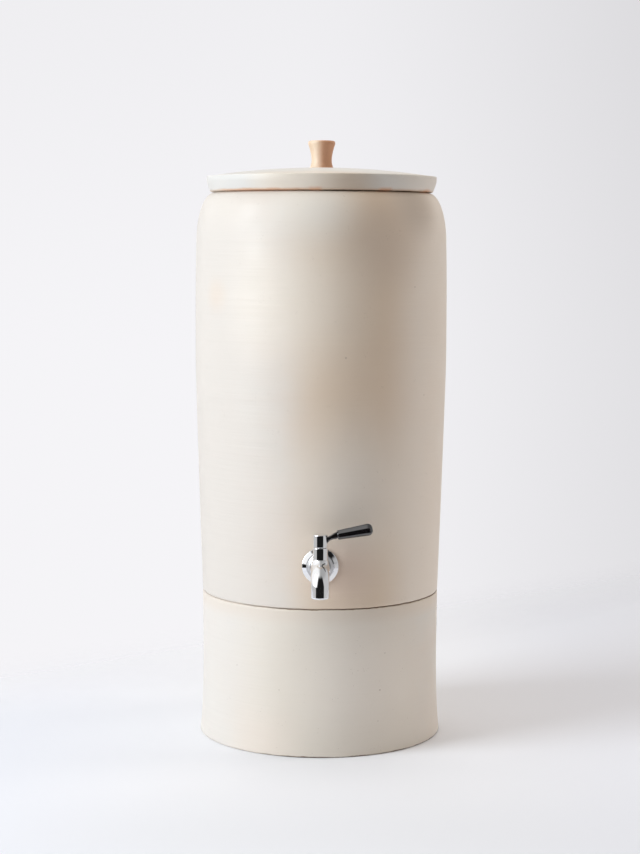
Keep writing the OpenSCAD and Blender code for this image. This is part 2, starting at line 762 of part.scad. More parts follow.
module tap_plug() {
    spindle_top = cap_z + cap_h - cap_top_t - 0.2;
    groove_r = plug_r - 2 * o_ring_r;
    groove_h = o_ring_r + fit_gap;
    color(chrome) on_valve(0) difference() {
        rotate_extrude() polygon([
            [0, plug_z], [plug_r, plug_z],
            [plug_r, o_ring_low_z - groove_h], [groove_r, o_ring_low_z - groove_h],
            [groove_r, o_ring_low_z + groove_h], [plug_r, o_ring_low_z + groove_h],
            [plug_r, o_ring_high_z - groove_h], [groove_r, o_ring_high_z - groove_h],
            [groove_r, o_ring_high_z + groove_h], [plug_r, o_ring_high_z + groove_h],
            [plug_r, shoulder_top_z], [spindle_r, shoulder_top_z],
            [spindle_r, spindle_top], [0, spindle_top]]);
        // water way, across the flow while the lever points sideways
        translate([-plug_r - past, 0, tap_z]) rotate([0, 90, 0])
            cylinder(r = plug_bore_r, h = 2 * plug_r + 2 * past);
        // socket for the lever's stud
        translate([0, 0, stud_z]) rotate([0, 90, 0])
            cylinder(r = stud_r + fit_gap, h = spindle_r + past);
    }
}

module plug_o_rings() {
    color(black) on_valve(0) for (z = [o_ring_low_z, o_ring_high_z])
        translate([0, 0, z]) rotate_extrude()
            translate([plug_r - o_ring_r, 0]) circle(r = o_ring_r - 0.02, $fn = 32);
}

module tap_cap() {
    edge = 0.9;
    inside_h = cap_h - cap_top_t;
    color(chrome) on_valve(cap_z) difference() {
        rotate_extrude() polygon(concat(
            [[0, inside_h], [spindle_r + fit_gap, inside_h], [spindle_r + fit_gap, 0]],
            arc(cap_r - 0.4, 0.4, 0.4, -90, 0, 3),
            arc(cap_r - edge, cap_h - edge, edge, 0, 90, 4),
            [[0, cap_h]]));
        translate([0, 0, stud_h]) rotate([0, 90, 0])
            cylinder(r = stud_r + fit_gap, h = cap_r + past);
    }
}

// Frame of the grip, with +X along it from its inner end
module on_grip() {
    on_valve(stud_z) translate([grip_x, 0, grip_z]) rotate([0, -grip_tilt, 0]) children();
}

module lever_arm() {
    neck_low = grip_z - grip_r0 + 1;
    neck_high = grip_z + grip_r0 - 0.2;
    hug_r = cap_r + fit_gap;
    color(black) union() {
        on_valve(stud_z) rotate([0, 90, 0]) cylinder(r = stud_r, h = hug_r + 1);
        difference() {
            on_valve(stud_z) rotate([90, 0, 0]) linear_extrude(neck_w, center = true)
                polygon([[0, -neck_down], [neck_l, -neck_down], [neck_l, neck_low],
                    [grip_x, grip_z - tenon_r], [grip_x, neck_high], [cap_r, neck_up],
                    [0, neck_up]]);
            on_valve(stud_z) translate([neck_l - 0.7, 0, neck_low - scoop_r]) rotate([90, 0, 0])
                cylinder(r = scoop_r, h = neck_w + 2 * past, center = true);
            on_valve(cap_z - past) cylinder(r = hug_r, h = cap_h + 2 * past);
            // it ends along the grip's inner face
            on_grip() translate([-fit_gap, -neck_w, -2 * grip_r0])
                cube([4 * grip_r0, 2 * neck_w, 4 * grip_r0]);
        }
        on_grip() rotate([0, 90, 0]) translate([0, 0, -3]) cylinder(r = tenon_r, h = tenon_l + 3);
    }
}

module lever_grip() {
    end_round = 4.4;
    color(black) on_grip() rotate([0, 90, 0]) difference() {
        rotate_extrude() polygon(concat(
            [[0, 0]],
            arc(grip_r0 - 1, 1, 1, -90, -10, 3),
            arc(grip_r1 - end_round, grip_l - end_round, end_round, 4, 90, 8),
            [[0, grip_l]]));
        translate([0, 0, -past]) cylinder(r = tenon_r + fit_gap, h = tenon_l + past + 0.5);
    }
}

stand();
crock();
tap_flange();
tap_body();
tap_outer_washer();
tap_inner_washer();
tap_nut();
tap_bonnet();
mineral_basket();
mineral_stones();
tap_cap();
tap_plug();
plug_o_rings();
lever_arm();
lever_grip();
filter_bowl();
bowl_seal();
dome_shell();
dome_base();
dome_gasket();
stem_washer();
stem_nut();
cartridge_seal();
cartridge_cap();
cartridge_tube();
cartridge_base();
filter_pads();
media_sand();
media_zeolite();
media_carbon();
media_balls();
lid();
lid_knob();
knob_screw();
knob_washer();
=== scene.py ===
"""Looks of a gravity water filter with tap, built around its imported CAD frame.

Lengths are in metres, in the frame's own axes: +Z up and the tap towards -Y.
"""

import itertools
import math
import random

import bmesh
import bpy
import numpy as np
from mathutils import Matrix, Vector, noise


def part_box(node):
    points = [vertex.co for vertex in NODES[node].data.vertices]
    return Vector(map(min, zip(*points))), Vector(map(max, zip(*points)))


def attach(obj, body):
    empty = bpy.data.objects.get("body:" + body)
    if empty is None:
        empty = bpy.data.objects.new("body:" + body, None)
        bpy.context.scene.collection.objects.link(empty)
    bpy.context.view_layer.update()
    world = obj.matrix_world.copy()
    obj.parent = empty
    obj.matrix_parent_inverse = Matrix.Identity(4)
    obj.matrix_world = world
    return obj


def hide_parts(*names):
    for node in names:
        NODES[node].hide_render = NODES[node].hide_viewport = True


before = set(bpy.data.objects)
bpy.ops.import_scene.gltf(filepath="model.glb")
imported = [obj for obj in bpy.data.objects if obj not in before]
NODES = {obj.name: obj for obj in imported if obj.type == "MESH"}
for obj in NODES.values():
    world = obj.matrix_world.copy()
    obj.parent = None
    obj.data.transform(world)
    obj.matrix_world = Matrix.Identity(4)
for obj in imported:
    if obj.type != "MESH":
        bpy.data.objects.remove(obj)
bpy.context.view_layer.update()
MM = 0.001

# ---------------- sizes

# Heights and outermost radii come from the frame, and the rest repeats the CAD's lengths or
# is finer than the CAD. Stand and crock:
SEAM_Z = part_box("stand")[1].z
STAND_FOOT_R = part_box("stand")[1].x
RIM_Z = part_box("crock")[1].z
CROCK_FOOT_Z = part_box("crock")[0].z
BELLY_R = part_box("crock")[1].x
SEAM_R = 122.8 * MM
WAIST_R = 122.4 * MM
WAIST_Z = 95 * MM
STAND_FLARE = 3
STAND_WALL = 10 * MM
BELLY_H = 240 * MM
BELLY_CURVE = 1.15
UPPER_CURVE = 3
SHOULDER_R = 128.8 * MM
SHOULDER_H = 50 * MM
RIM_R = 110.8 * MM
MOUTH_R = 106 * MM
LEDGE_R = 100 * MM
LEDGE_DEPTH = 7 * MM
LEDGE_LIP = 9 * MM
LEDGE_ROOT_H = 14 * MM
LEDGE_ROOT_W = 4 * MM
CROCK_WALL = 8 * MM
CROCK_FLOOR = 14 * MM
CROCK_CORNER = 14 * MM
FOOT_R = 111.8 * MM
FOOT_W = 12 * MM
FOOT_HOLLOW = 4 * MM
SOFT_EDGE = 1.5 * MM
POT_SEGMENTS = 192

# A wall's even points stop this far from its ends, which leaves room for rounded edges
WALL_END = 4 * MM

# Lid, its locating ring and its knob:
LID_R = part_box("lid")[1].x
LID_LAND_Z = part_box("lid")[1].z
LID_RING_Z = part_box("lid")[0].z
LID_BASE_R = 114.4 * MM
LID_EDGE_H = 16.5 * MM
LID_SIDE_H = 0.68 * LID_EDGE_H
LID_RISE = 9.5 * MM
LID_T = 11 * MM
LID_GAP = 1 * MM
LID_RING_R = 93.5 * MM
LID_RING_W = 7 * MM
LID_HOLE_R = 2.5 * MM
LID_SEAT_R = 9 * MM
KNOB_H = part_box("lid_knob")[1].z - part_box("lid_knob")[0].z
KNOB_HEAD_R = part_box("lid_knob")[1].x
KNOB_FOOT_R = 12.2 * MM
KNOB_WAIST_R = 10.4 * MM
KNOB_WAIST_H = 8 * MM
KNOB_BROW = 3.6 * MM
KNOB_BORE_R = 2.05 * MM
KNOB_BORE_H = 16 * MM

# Tap, where out is the distance from the crock's axis towards the front:
TAP_Z = (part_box("tap_flange")[0].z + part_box("tap_flange")[1].z) / 2
VALVE_OUT = -(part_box("tap_bonnet")[0].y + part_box("tap_bonnet")[1].y) / 2
FLANGE_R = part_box("tap_flange")[1].x
FLANGE_BACK_OUT = -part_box("tap_flange")[1].y
FLANGE_FACE_OUT = -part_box("tap_flange")[0].y
FLANGE_EDGE_T = 0.5 * MM
FLANGE_RING_T = 2.6 * MM
FLANGE_RING_R = 13.6 * MM
COLLAR_R = 13 * MM
COLLAR_TOP_R = 10.4 * MM
SHANK_OUT = -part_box("tap_body")[1].y
SPOUT_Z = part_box("tap_body")[0].z
HOUSING_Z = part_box("tap_body")[1].z
BARREL_R = 8.9 * MM
BEND_R = 14 * MM
BEND_OUT = VALVE_OUT + 3 * MM
SPOUT_OUT = BEND_OUT + BEND_R
SPOUT_BORE_R = 6 * MM
SPOUT_BORE_H = 6 * MM
WATERWAY_R = 4.6 * MM
WATERWAY_H = 14 * MM
HOUSING_R = 7.8 * MM
CAST_CELL = 0.7 * MM
SHANK_R = 7.9 * MM
SHANK_BORE_R = 3.6 * MM
SHANK_PLAIN_L = 20 * MM
THREAD_PITCH = 1.6 * MM
THREAD_DEPTH = 0.7 * MM
THREAD_RUNOUT = 2 * MM
TAP_HOLE_R = SHANK_R + 0.6 * MM
TAP_HOLE_PAST = 20 * MM
SPOT_R = 16 * MM
SPOT_CUT_L = 10 * MM
CAP_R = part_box("tap_cap")[1].x
STUD_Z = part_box("tap_cap")[0].z + 7.4 * MM
NECK_W = 6 * MM
NECK_BEVEL = 0.9 * MM
NECK_ROOT = CAP_R - 0.8 * MM
NECK_END = 15.2 * MM
NECK_UP = 2.7 * MM
SCOOP_R = 9 * MM
TENON_R = 1.8 * MM
GRIP_X = 16.6 * MM
GRIP_Z = 4.2 * MM
GRIP_L = 34.6 * MM
GRIP_R0 = 4.6 * MM
GRIP_R1 = 5.9 * MM
GRIP_END_R = 4.7 * MM
GRIP_TILT = 10.5

# Flat faces of the grip's section: their directions, in degrees from straight down through
# the back, and their distance from the middle as a share of the radius
GRIP_FACES = (90, 131, 229, 270)
GRIP_FLATNESS = 0.82
GRIP_SHARPNESS = 22

# Stones in the mineral basket:
STONE_R = 6.2 * MM
STONE_GAP = 0.3 * MM
STONE_FLATTEST = 0.78
STONE_DENTS = 0.22

# ---------------- view and light

# The camera that the picture's ellipses and upright edges give, with its angles in radians
CAMERA_AT = (-0.0007, -1.9397, 0.5119)
CAMERA_PITCH = 0.0999
CAMERA_ROLL = 0.0037
FOCAL_PX = 1871.0
FRAME_W_PX = 640.0
FRAME_H_PX = 854.0
SENSOR_MM = 36.0

# Turn of the camera, which looks along its own -Z
CAMERA_TURN = Matrix.Rotation(math.pi / 2 - CAMERA_PITCH, 3, "X") @ Matrix.Rotation(CAMERA_ROLL, 3, "Z")

# Middle of the filter, which the lamps point at
MIDDLE = (0, 0, 0.30)

# Lamps: azimuth from the front towards the right and elevation in degrees, and distance;
# then each panel's size, watts and colour
LAMPS = {"key_left": ((-65, 20, 2.5), (1.2, 2.0), 61, (0.88, 0.945, 1.0)),
         "fill_right": ((101, 10, 2.5), (1.0, 2.0), 25.2, (1.0, 0.925, 0.85)),
         "top_soft": ((0, 90, 2.6), (2.2, 2.2), 45, (1.0, 0.95, 0.90))}

# Directions in the studio are given by how far they point to the right, to the back or up,
# from -1 to 1. A pair of numbers says where a change begins and where it ends.

# Soft light from the walls behind and in front
WALL_LIGHT = (0.3, 0.7)
BACK_LIGHT = 0.85
FRONT_LIGHT = 0.20
BACK_COLOUR = (1.0, 1.0, 1.0, 1)
FRONT_COLOUR = (1.0, 0.925, 0.85, 1)
BLACK = (0.0, 0.0, 0.0, 1)

# What metal mirrors: pale walls, a ceiling that is dimmer to the right, a dark opening in
# front that narrows with height, and a bright panel to the left that widens
MIRROR_WALLS = 0.58
MIRROR_CEILING = 0.42
MIRROR_CEILING_LEFT = 1.0
MIRROR_DARK = 0.012
MIRROR_PANEL = 1.1
CEILING_FOOT = (0.35, 0.75)
CEILING_DIMS = (-0.3, 0.1)
MIRROR_SOFT = 0.03
DARK_LEFT = -0.82
DARK_RIGHT = 0.76
DARK_NARROWS = 0.22
DARK_BACK = (0.0, -0.02)
DARK_TOP = (0.95, 0.55)
PANEL_RIGHT = -0.62
PANEL_WIDENS = 0.20
PANEL_BACK = (0.75, 0.65)
PANEL_FOOT = -0.06
PANEL_TOP = 0.93

# Paper behind the filter, as the camera sees it: darker to the right and a little upwards
PAPER_LEFT = (0.913, 0.906, 0.930, 1)
PAPER_RIGHT = (0.721, 0.714, 0.735, 1)
PAPER_TURNS = (-0.03, 0.25)
PAPER_DIMS = (-0.08, 0.16)
PAPER_DIM = 0.945

# Floor: how far it lies under the foot, half its size, and where it changes, as distances
# from the middle. Painted shade makes it darker to either side and in front, and it ends where the paper
# takes over.
FLOOR_DROP = 0.2 * MM
FLOOR_HALF = 30
FLOOR_SHADE_ASIDE = (0.08, 0.36)
FLOOR_SHADE_FRONT = (0.20, 0.38)
FLOOR_ENDS = (0.6, 2.0)
FLOOR_ENDS_BEHIND = (0.25, 0.65)
FLOOR_ENDS_IN_METAL = (0.80, 0.95)


def add_object(name, data):
    obj = bpy.data.objects.new(name, data)
    bpy.context.collection.objects.link(obj)
    return obj


def set_camera():
    data = bpy.data.cameras.new("camera")
    data.sensor_width = SENSOR_MM
    data.lens = FOCAL_PX * SENSOR_MM / FRAME_H_PX
    data.clip_end = 100
    camera = add_object("camera", data)
    camera.location = CAMERA_AT
    camera.rotation_euler = CAMERA_TURN.to_euler()
    bpy.context.scene.camera = camera


def on_pot(x, y, radius_at):
    """Point on a round pot's front that the camera sees at pixel (x, y) of the picture."""
    ray = CAMERA_TURN @ Vector((x - FRAME_W_PX / 2, FRAME_H_PX / 2 - y, -FOCAL_PX))
    start = Vector(CAMERA_AT)
    place = Vector((0, 0, start.z))
    # the radius depends on the height where the ray meets it, so a few rounds settle both
    for _ in range(6):
        radius = radius_at(place.z)
        a = ray.x ** 2 + ray.y ** 2
        b = start.x * ray.x + start.y * ray.y
        c = start.x ** 2 + start.y ** 2 - radius ** 2
        place = start + ray * (-b - math.sqrt(max(b * b - a * c, 0))) / a
    return place


def set_world():
    """Studio: paper to the camera, walls with a dark opening to metal and glass, soft light to the rest."""
    world = bpy.data.worlds.new("studio")
    bpy.context.scene.world = world
    world.use_nodes = True
    world.node_tree.nodes.clear()
    nodes = NodeMaker(world.node_tree)
    x, y, z = nodes.split(nodes.add("TexCoord").outputs["Generated"])

    back = nodes.between(y, *WALL_LIGHT)
    front = nodes.between(nodes.product(y, -1), *WALL_LIGHT)
    light = nodes.mix(back, nodes.mix(front, BLACK, FRONT_COLOUR), BACK_COLOUR)
    strength = nodes.math("MAXIMUM", nodes.product(back, BACK_LIGHT), nodes.product(front, FRONT_LIGHT))
    room = nodes.background(light, strength)

    def above(value, border):
        return nodes.between(value, border - MIRROR_SOFT, border + MIRROR_SOFT)

    def below(value, border):
        return nodes.between(value, border + MIRROR_SOFT, border - MIRROR_SOFT)

    across = nodes.math("DIVIDE", x, nodes.hypot(x, y))
    rise = nodes.math("MAXIMUM", z, 0.0)
    from_left = nodes.math("SUBTRACT", across, nodes.product(rise, PANEL_WIDENS))
    from_right = nodes.math("ADD", across, nodes.product(rise, DARK_NARROWS))
    opening = nodes.product(above(across, DARK_LEFT), below(from_right, DARK_RIGHT),
                            nodes.between(y, *DARK_BACK), nodes.between(z, *DARK_TOP))
    panel = nodes.product(below(from_left, PANEL_RIGHT), nodes.between(y, *PANEL_BACK),
                          above(z, PANEL_FOOT), below(z, PANEL_TOP))
    ceiling = nodes.between(x, *CEILING_DIMS, MIRROR_CEILING_LEFT, MIRROR_CEILING)
    walls = nodes.between(z, *CEILING_FOOT, MIRROR_WALLS, ceiling)
    walls = nodes.between(opening, 0, 1, walls, MIRROR_DARK)
    mirror = nodes.background(BACK_COLOUR, nodes.between(panel, 0, 1, walls, MIRROR_PANEL))

    paper = nodes.mix(nodes.between(x, *PAPER_TURNS), PAPER_LEFT, PAPER_RIGHT)
    sheet = nodes.background(paper, nodes.between(z, *PAPER_DIMS, 1.0, PAPER_DIM))

    path = nodes.add("LightPath").outputs
    mirrored = nodes.math("MAXIMUM", path["Is Glossy Ray"], path["Is Transmission Ray"])
    seen = nodes.mix_shader(mirrored, room, mirror)
    nodes.add("OutputWorld", Surface=nodes.mix_shader(path["Is Camera Ray"], seen, sheet))


def around(azimuth, elevation, distance):
    """A place by its azimuth from the front towards the right and its elevation, in degrees."""
    a, e = math.radians(azimuth), math.radians(elevation)
    return (distance * math.cos(e) * math.sin(a), -distance * math.cos(e) * math.cos(a),
            MIDDLE[2] + distance * math.sin(e))


def set_lights():
    """Panels of light. Metal and glaze mirror only the key's."""
    for name, (place, size, watts, colour) in LAMPS.items():
        data = bpy.data.lights.new(name, "AREA")
        data.shape = "RECTANGLE"
        data.size, data.size_y = size
        data.energy = watts
        data.color = colour
        light = add_object(name, data)
        light.location = around(*place)
        light.rotation_euler = (Vector(MIDDLE) - light.location).to_track_quat("-Z", "Y").to_euler()
        light.visible_glossy = name == "key_left"


# ---------------- node helpers


class NodeMaker:
    """Short calls that add shader nodes to one tree and join them."""

    def __init__(self, tree):
        self.tree = tree

    def feed(self, node, name, value):
        if isinstance(value, bpy.types.NodeSocket):
            self.tree.links.new(value, node.inputs[name])
        else:
            node.inputs[name].default_value = value

    def feed_named(self, node, inputs):
        for name, value in inputs.items():
            self.feed(node, name.replace("_", " "), value)
        return node

    def add(self, kind, **inputs):
        """New node whose inputs are fed by name, with _ for a space."""
        return self.feed_named(self.tree.nodes.new("ShaderNode" + kind), inputs)

    def math(self, operation, a, b=0.0):
        node = self.add("Math")
        node.operation = operation
        self.feed(node, 0, a)
        self.feed(node, 1, b)
        return node.outputs[0]

    def product(self, *factors):
        result = factors[0]
        for factor in factors[1:]:
            result = self.math("MULTIPLY", result, factor)
        return result

    def hypot(self, a, b):
        return self.math("SQRT", self.math("ADD", self.product(a, a), self.product(b, b)))

    def between(self, value, low, high, to_low=0.0, to_high=1.0):
        """Smooth step of value from low to high."""
        node = self.add("MapRange", Value=value, From_Min=low, From_Max=high, To_Min=to_low, To_Max=to_high)
        node.interpolation_type = "SMOOTHSTEP"
        return node.outputs[0]

    def mix(self, fac, a, b):
        node = self.add("Mix")
        node.data_type = "RGBA"
        self.feed(node, 0, fac)
        for socket, value in ((6, a), (7, b)):
            if not isinstance(value, bpy.types.NodeSocket):
                value = (*value[:3], 1)
            self.feed(node, socket, value)
        return node.outputs[2]

    def split(self, vector):
        return self.add("SeparateXYZ", Vector=vector).outputs

    def background(self, colour, strength):
        return self.add("Background", Color=colour, Strength=strength).outputs[0]

    def mix_shader(self, fac, a, b):
        node = self.add("MixShader")
        for socket, value in enumerate((fac, a, b)):
            self.feed(node, socket, value)
        return node.outputs[0]


class Paint(NodeMaker):
    """A material's node tree, with short calls for the nodes that every finish uses."""

    def __init__(self, name):
        self.material = bpy.data.materials.new(name)
        self.material.use_nodes = True
        super().__init__(self.material.node_tree)
        self.shader = self.tree.nodes["Principled BSDF"]
        self.object = self.add("TexCoord").outputs["Object"]

    def set(self, **inputs):
        self.feed_named(self.shader, inputs)

    def stretch(self, x, y, z):
        return self.add("Mapping", Vector=self.object, Scale=(x, y, z)).outputs[0]

    def noise(self, scale, detail=3.0, rough=0.55, vector=None, distortion=0.0):
        node = self.add("TexNoise", Vector=vector or self.object, Scale=scale, Detail=detail,
                        Roughness=rough, Distortion=distortion)
        return node.outputs["Fac"]

    def cells(self, scale, feature="F1", output="Distance"):
        node = self.add("TexVoronoi", Vector=self.object, Scale=scale)
        node.feature = feature
        return node.outputs[output]

    def ramp(self, fac, *stops):
        """Colours between stops, each (place, colour)."""
        node = self.add("ValToRGB", Fac=fac)
        points = node.color_ramp.elements
        while len(points) < len(stops):
            points.new(0.5)
        for point, (place, colour) in zip(points, stops):
            point.position = place
            point.color = colour
        return node.outputs["Color"]

    def distance(self, place):
        node = self.add("VectorMath")
        node.operation = "DISTANCE"
        self.feed(node, 0, self.object)
        self.feed(node, 1, place)
        return node.outputs["Value"]

    def facing(self, azimuth, half_width):
        """1 where the surface lies within half_width of an azimuth from the front, both in degrees."""
        x, y, _ = self.split(self.object)
        a, half = math.radians(azimuth), math.radians(half_width)
        along = self.math("SUBTRACT", self.product(x, math.sin(a)), self.product(y, math.cos(a)))
        turned = self.math("DIVIDE", along, self.hypot(x, y))
        return self.between(turned, math.cos(half), math.cos(half * 0.25))

    def bump(self, height, distance, strength, under=None):
        """Relief on the shader, over the relief that under gives."""
        node = self.add("Bump", Height=height, Distance=distance, Strength=strength)
        if under:
            self.feed(node, "Normal", under)
        self.set(Normal=node.outputs[0])
        return node.outputs[0]


def srgb(red, green, blue):
    """Display values from 0 to 255, as the linear colour that shaders take."""
    def linear(value):
        value = value / 255
        return value / 12.92 if value <= 0.04045 else ((value + 0.055) / 1.055) ** 2.4
    return (linear(red), linear(green), linear(blue), 1)


# ---------------- glazes

CLAY = srgb(146, 124, 104)
# bare clay paler than CLAY: painted light on the edges of the key-lit left side
CLAY_PAINTED_LIT = srgb(222, 212, 200)
# bare clay at the stand's foot, darker than CLAY: partly painted contact shade along the floor
FOOT_CLAY_AND_SHADE = srgb(120, 100, 84)
TOAST = srgb(216, 158, 118)
IRON = srgb(120, 92, 72)

# Azimuth and half width, in degrees, of the pots' left side, which the key lamp lights; bare edges there
# get a paler colour, which is painted light
KEY_LIT_SIDE = (-74, 68)


def glaze(name, base, warm, cool, gloss, radius_at, painted_light_sides, edges, blots, pits=None, toasted=(), low=0):
    """Satin stoneware glaze: cloudy colour, faint throwing bands and small iron specks.

    Each side tint, as (azimuth, half width, colour, strength), is painted light and shade
    that stands in for how the lamps light that side of the pot. Each of edges, as (height,
    reach, colour, colour round the left side), is thin glaze or bare clay, some partly painted
    shade as their names say, and the paler colour round the left side is painted light from
    the key lamp. Blots, as (pixel, size, colour, strength), and dark pits, as (pixel, size),
    lie where that pixel of the picture shows them on the radius that radius_at gives for a
    height; the blots named shade, painted light or painted shadow are painted light and shade.
    toasted are patches of the lower edge, as (azimuth, half width, reach). The pot's own
    heights start at low.
    """
    def place(pixel):
        return on_pot(*pixel, radius_at) - Vector((0, 0, low))

    paint = Paint(name)
    clouds = paint.noise(9, 4, 0.6)
    drift = paint.noise(3.1, 3, 0.5, paint.stretch(1, 1, 0.55))
    colour = paint.mix(paint.between(clouds, 0.35, 0.68), base, warm)
    colour = paint.mix(paint.between(drift, 0.45, 0.75, 0, 0.7), colour, cool)
    # throwing bands run round the pot, so they are noise that is squeezed along its axis
    bands = paint.noise(26, 3, 0.6, paint.stretch(0.12, 0.12, 3.4))
    fine = paint.noise(90, 2, 0.5, paint.stretch(0.10, 0.10, 2.6))
    colour = paint.mix(paint.between(bands, 0.42, 0.72, 0.0, 0.35), colour, warm)
    # painted light and shade: each side tint stands in for how the lamps light that side of the pot
    for azimuth, half_width, tint, strength in painted_light_sides.values():
        colour = paint.mix(paint.product(paint.facing(azimuth, half_width), strength), colour, tint)
    for pixel, size, tint, strength in blots.values():
        mask = paint.between(paint.distance(place(pixel)), size, 0.1 * size, 0, strength)
        colour = paint.mix(mask, colour, tint)
    # specks of iron, only where a second noise allows them
    dots = paint.cells(420)
    allowed = paint.between(paint.noise(55, 2), 0.62, 0.68)
    speck = paint.product(paint.between(dots, 0.10, 0.17, 1, 0), allowed, 0.45)
    for pixel, size in (pits or {}).values():
        pit = paint.between(paint.distance(place(pixel)), size, 0.5 * size, 0, 0.4)
        speck = paint.math("MAXIMUM", speck, pit)
    colour = paint.mix(speck, colour, IRON)
    # thin glaze and bare clay at the edges, partly painted shade and painted light, and toasted patches,
    # all with a ragged border
    # painted light: round the key-lit left side the edges take their paler colour
    left = paint.product(paint.facing(*KEY_LIT_SIDE), 0.85)
    ragged = paint.product(paint.math("SUBTRACT", paint.noise(60, 4, 0.6), 0.5), 3 * MM)
    level = paint.math("ADD", paint.split(paint.object)["Z"], ragged)
    for height, reach, tint, painted_lit_tint in edges.values():
        away = paint.math("ABSOLUTE", paint.math("SUBTRACT", level, height))
        thin = paint.between(away, reach, 0.2 * reach)
        colour = paint.mix(thin, colour, paint.mix(left, tint, painted_lit_tint))
    for azimuth, half_width, reach in toasted:
        near = paint.between(paint.math("ABSOLUTE", level), reach, 0.3 * reach)
        colour = paint.mix(paint.product(paint.facing(azimuth, half_width), near, 0.6), colour, TOAST)
    paint.set(Base_Color=colour, Specular_IOR_Level=0.42)
    # the last of the edges is bare clay, which is duller
    dull = paint.math("ADD", paint.noise(30, 3), thin)
    paint.set(Roughness=paint.between(dull, 0.3, 0.7, *gloss))
    rings = paint.bump(bands, 0.7 * MM, 0.6)
    rings = paint.bump(fine, 0.3 * MM, 0.35, rings)
    pitted = paint.bump(speck, -0.3 * MM, 0.6, rings)
    paint.bump(paint.noise(650, 2, 0.5), 0.12 * MM, 0.45, pitted)
    return paint.material


def crock_glaze():
    # painted light and shade: a darker, cooler tint on the key-lit left, a warmer, darker one in the shade
    # just right of the front, and a paler one where the fill lamp lights the right
    painted_light_sides = {"lit": (-70, 62, srgb(215, 207, 198), 0.9),
             "front": (17, 36, srgb(224, 202, 177), 0.8),
             "right": (66, 40, srgb(233, 221, 207), 0.7)}
    edges = {"seam": (SEAM_Z, 1.0 * MM, CLAY, CLAY_PAINTED_LIT)}
    # the pale blots on the belly, neck and front are painted light, the blush at the tap is a painted
    # shadow beside it, and the blots named shade are painted shade
    blots = {"shade under the shoulder": ((388, 236), 74 * MM, srgb(210, 192, 174), 0.7),
             "painted light on the belly": ((296, 300), 100 * MM, srgb(236, 225, 210), 0.7),
             "shade on the shoulder": ((422, 203), 46 * MM, srgb(192, 178, 164), 0.8),
             "painted light on the neck": ((318, 201), 60 * MM, srgb(232, 226, 216), 0.8),
             "painted light on the front": ((358, 496), 110 * MM, srgb(235, 228, 218), 0.65),
             "painted shadow beside the tap": ((344, 572), 50 * MM, srgb(226, 201, 185), 0.5),
             "blush on the left": ((216, 295), 24 * MM, srgb(228, 200, 172), 0.22)}
    pits = {"middle": ((346, 358), 1.1 * MM), "upper right": ((415, 287), 0.9 * MM),
            "right": ((424, 395), 0.9 * MM)}
    return glaze("crock_glaze", srgb(222, 213, 202), srgb(224, 210, 197), srgb(212, 206, 198),
                 (0.40, 0.54), crock_r, painted_light_sides, edges, blots, pits)


def stand_glaze():
    # painted light and shade: a darker, cooler tint on the key-lit left and a warmer one on the shaded
    # front
    painted_light_sides = {"lit": (-75, 60, srgb(220, 213, 205), 0.7),
             "front": (6, 56, srgb(225, 215, 201), 0.8)}
    # the warm band round the stand's top is painted shade below the crock
    edges = {"painted shade below the seam": (SEAM_Z, 20 * MM, srgb(223, 211, 197), srgb(221, 210, 198)),
             "seam": (SEAM_Z, 1.0 * MM, CLAY, CLAY_PAINTED_LIT),
             "foot": (0, 1.4 * MM, FOOT_CLAY_AND_SHADE, CLAY_PAINTED_LIT)}
    # the pale blot at the front is painted light on the stand's shaded side
    blots = {"painted light on the front": ((366, 684), 95 * MM, srgb(243, 234, 223), 0.75),
             "warm lower left": ((260, 745), 60 * MM, srgb(230, 214, 200), 0.4)}
    pits = {"left": ((237, 665), 0.8 * MM), "upper right": ((385, 653), 0.8 * MM),
            "middle": ((279, 690), 0.7 * MM), "right": ((380, 690), 1.0 * MM),
            "lower right": ((378, 721), 0.7 * MM)}
    return glaze("stand_glaze", srgb(222, 216, 207), srgb(224, 213, 201), srgb(214, 210, 203),
                 (0.42, 0.56), stand_r, painted_light_sides, edges, blots, pits)


def lid_glaze():
    # painted light and shade: a darker, cooler tint on the key-lit left and a warmer one on the shaded
    # front
    painted_light_sides = {"lit": (-66, 46, srgb(212, 209, 204), 0.6),
             "front": (-8, 34, srgb(226, 213, 196), 0.85)}
    edges = {"top": (25 * MM, 10 * MM, srgb(222, 219, 214), srgb(222, 219, 214)),
             "warm foot": (0, 4.0 * MM, srgb(208, 186, 165), srgb(212, 192, 172)),
             "foot": (0, 1.6 * MM, CLAY, CLAY_PAINTED_LIT)}
    blots = {"shade on the rim": ((350, 189), 44 * MM, srgb(204, 186, 166), 0.85)}
    toasted = ((-34, 36, 3.8 * MM), (-3, 4, 5.6 * MM), (33, 5, 5.6 * MM), (68, 7, 4.4 * MM),
               (140, 22, 4.6 * MM), (200, 9, 5.4 * MM), (255, 14, 4.2 * MM))
    return glaze("lid_glaze", srgb(224, 219, 211), srgb(223, 213, 202), srgb(212, 211, 205),
                 (0.39, 0.49), lambda z: LID_R, painted_light_sides, edges, blots, toasted=toasted, low=RIM_Z)


# ---------------- other materials


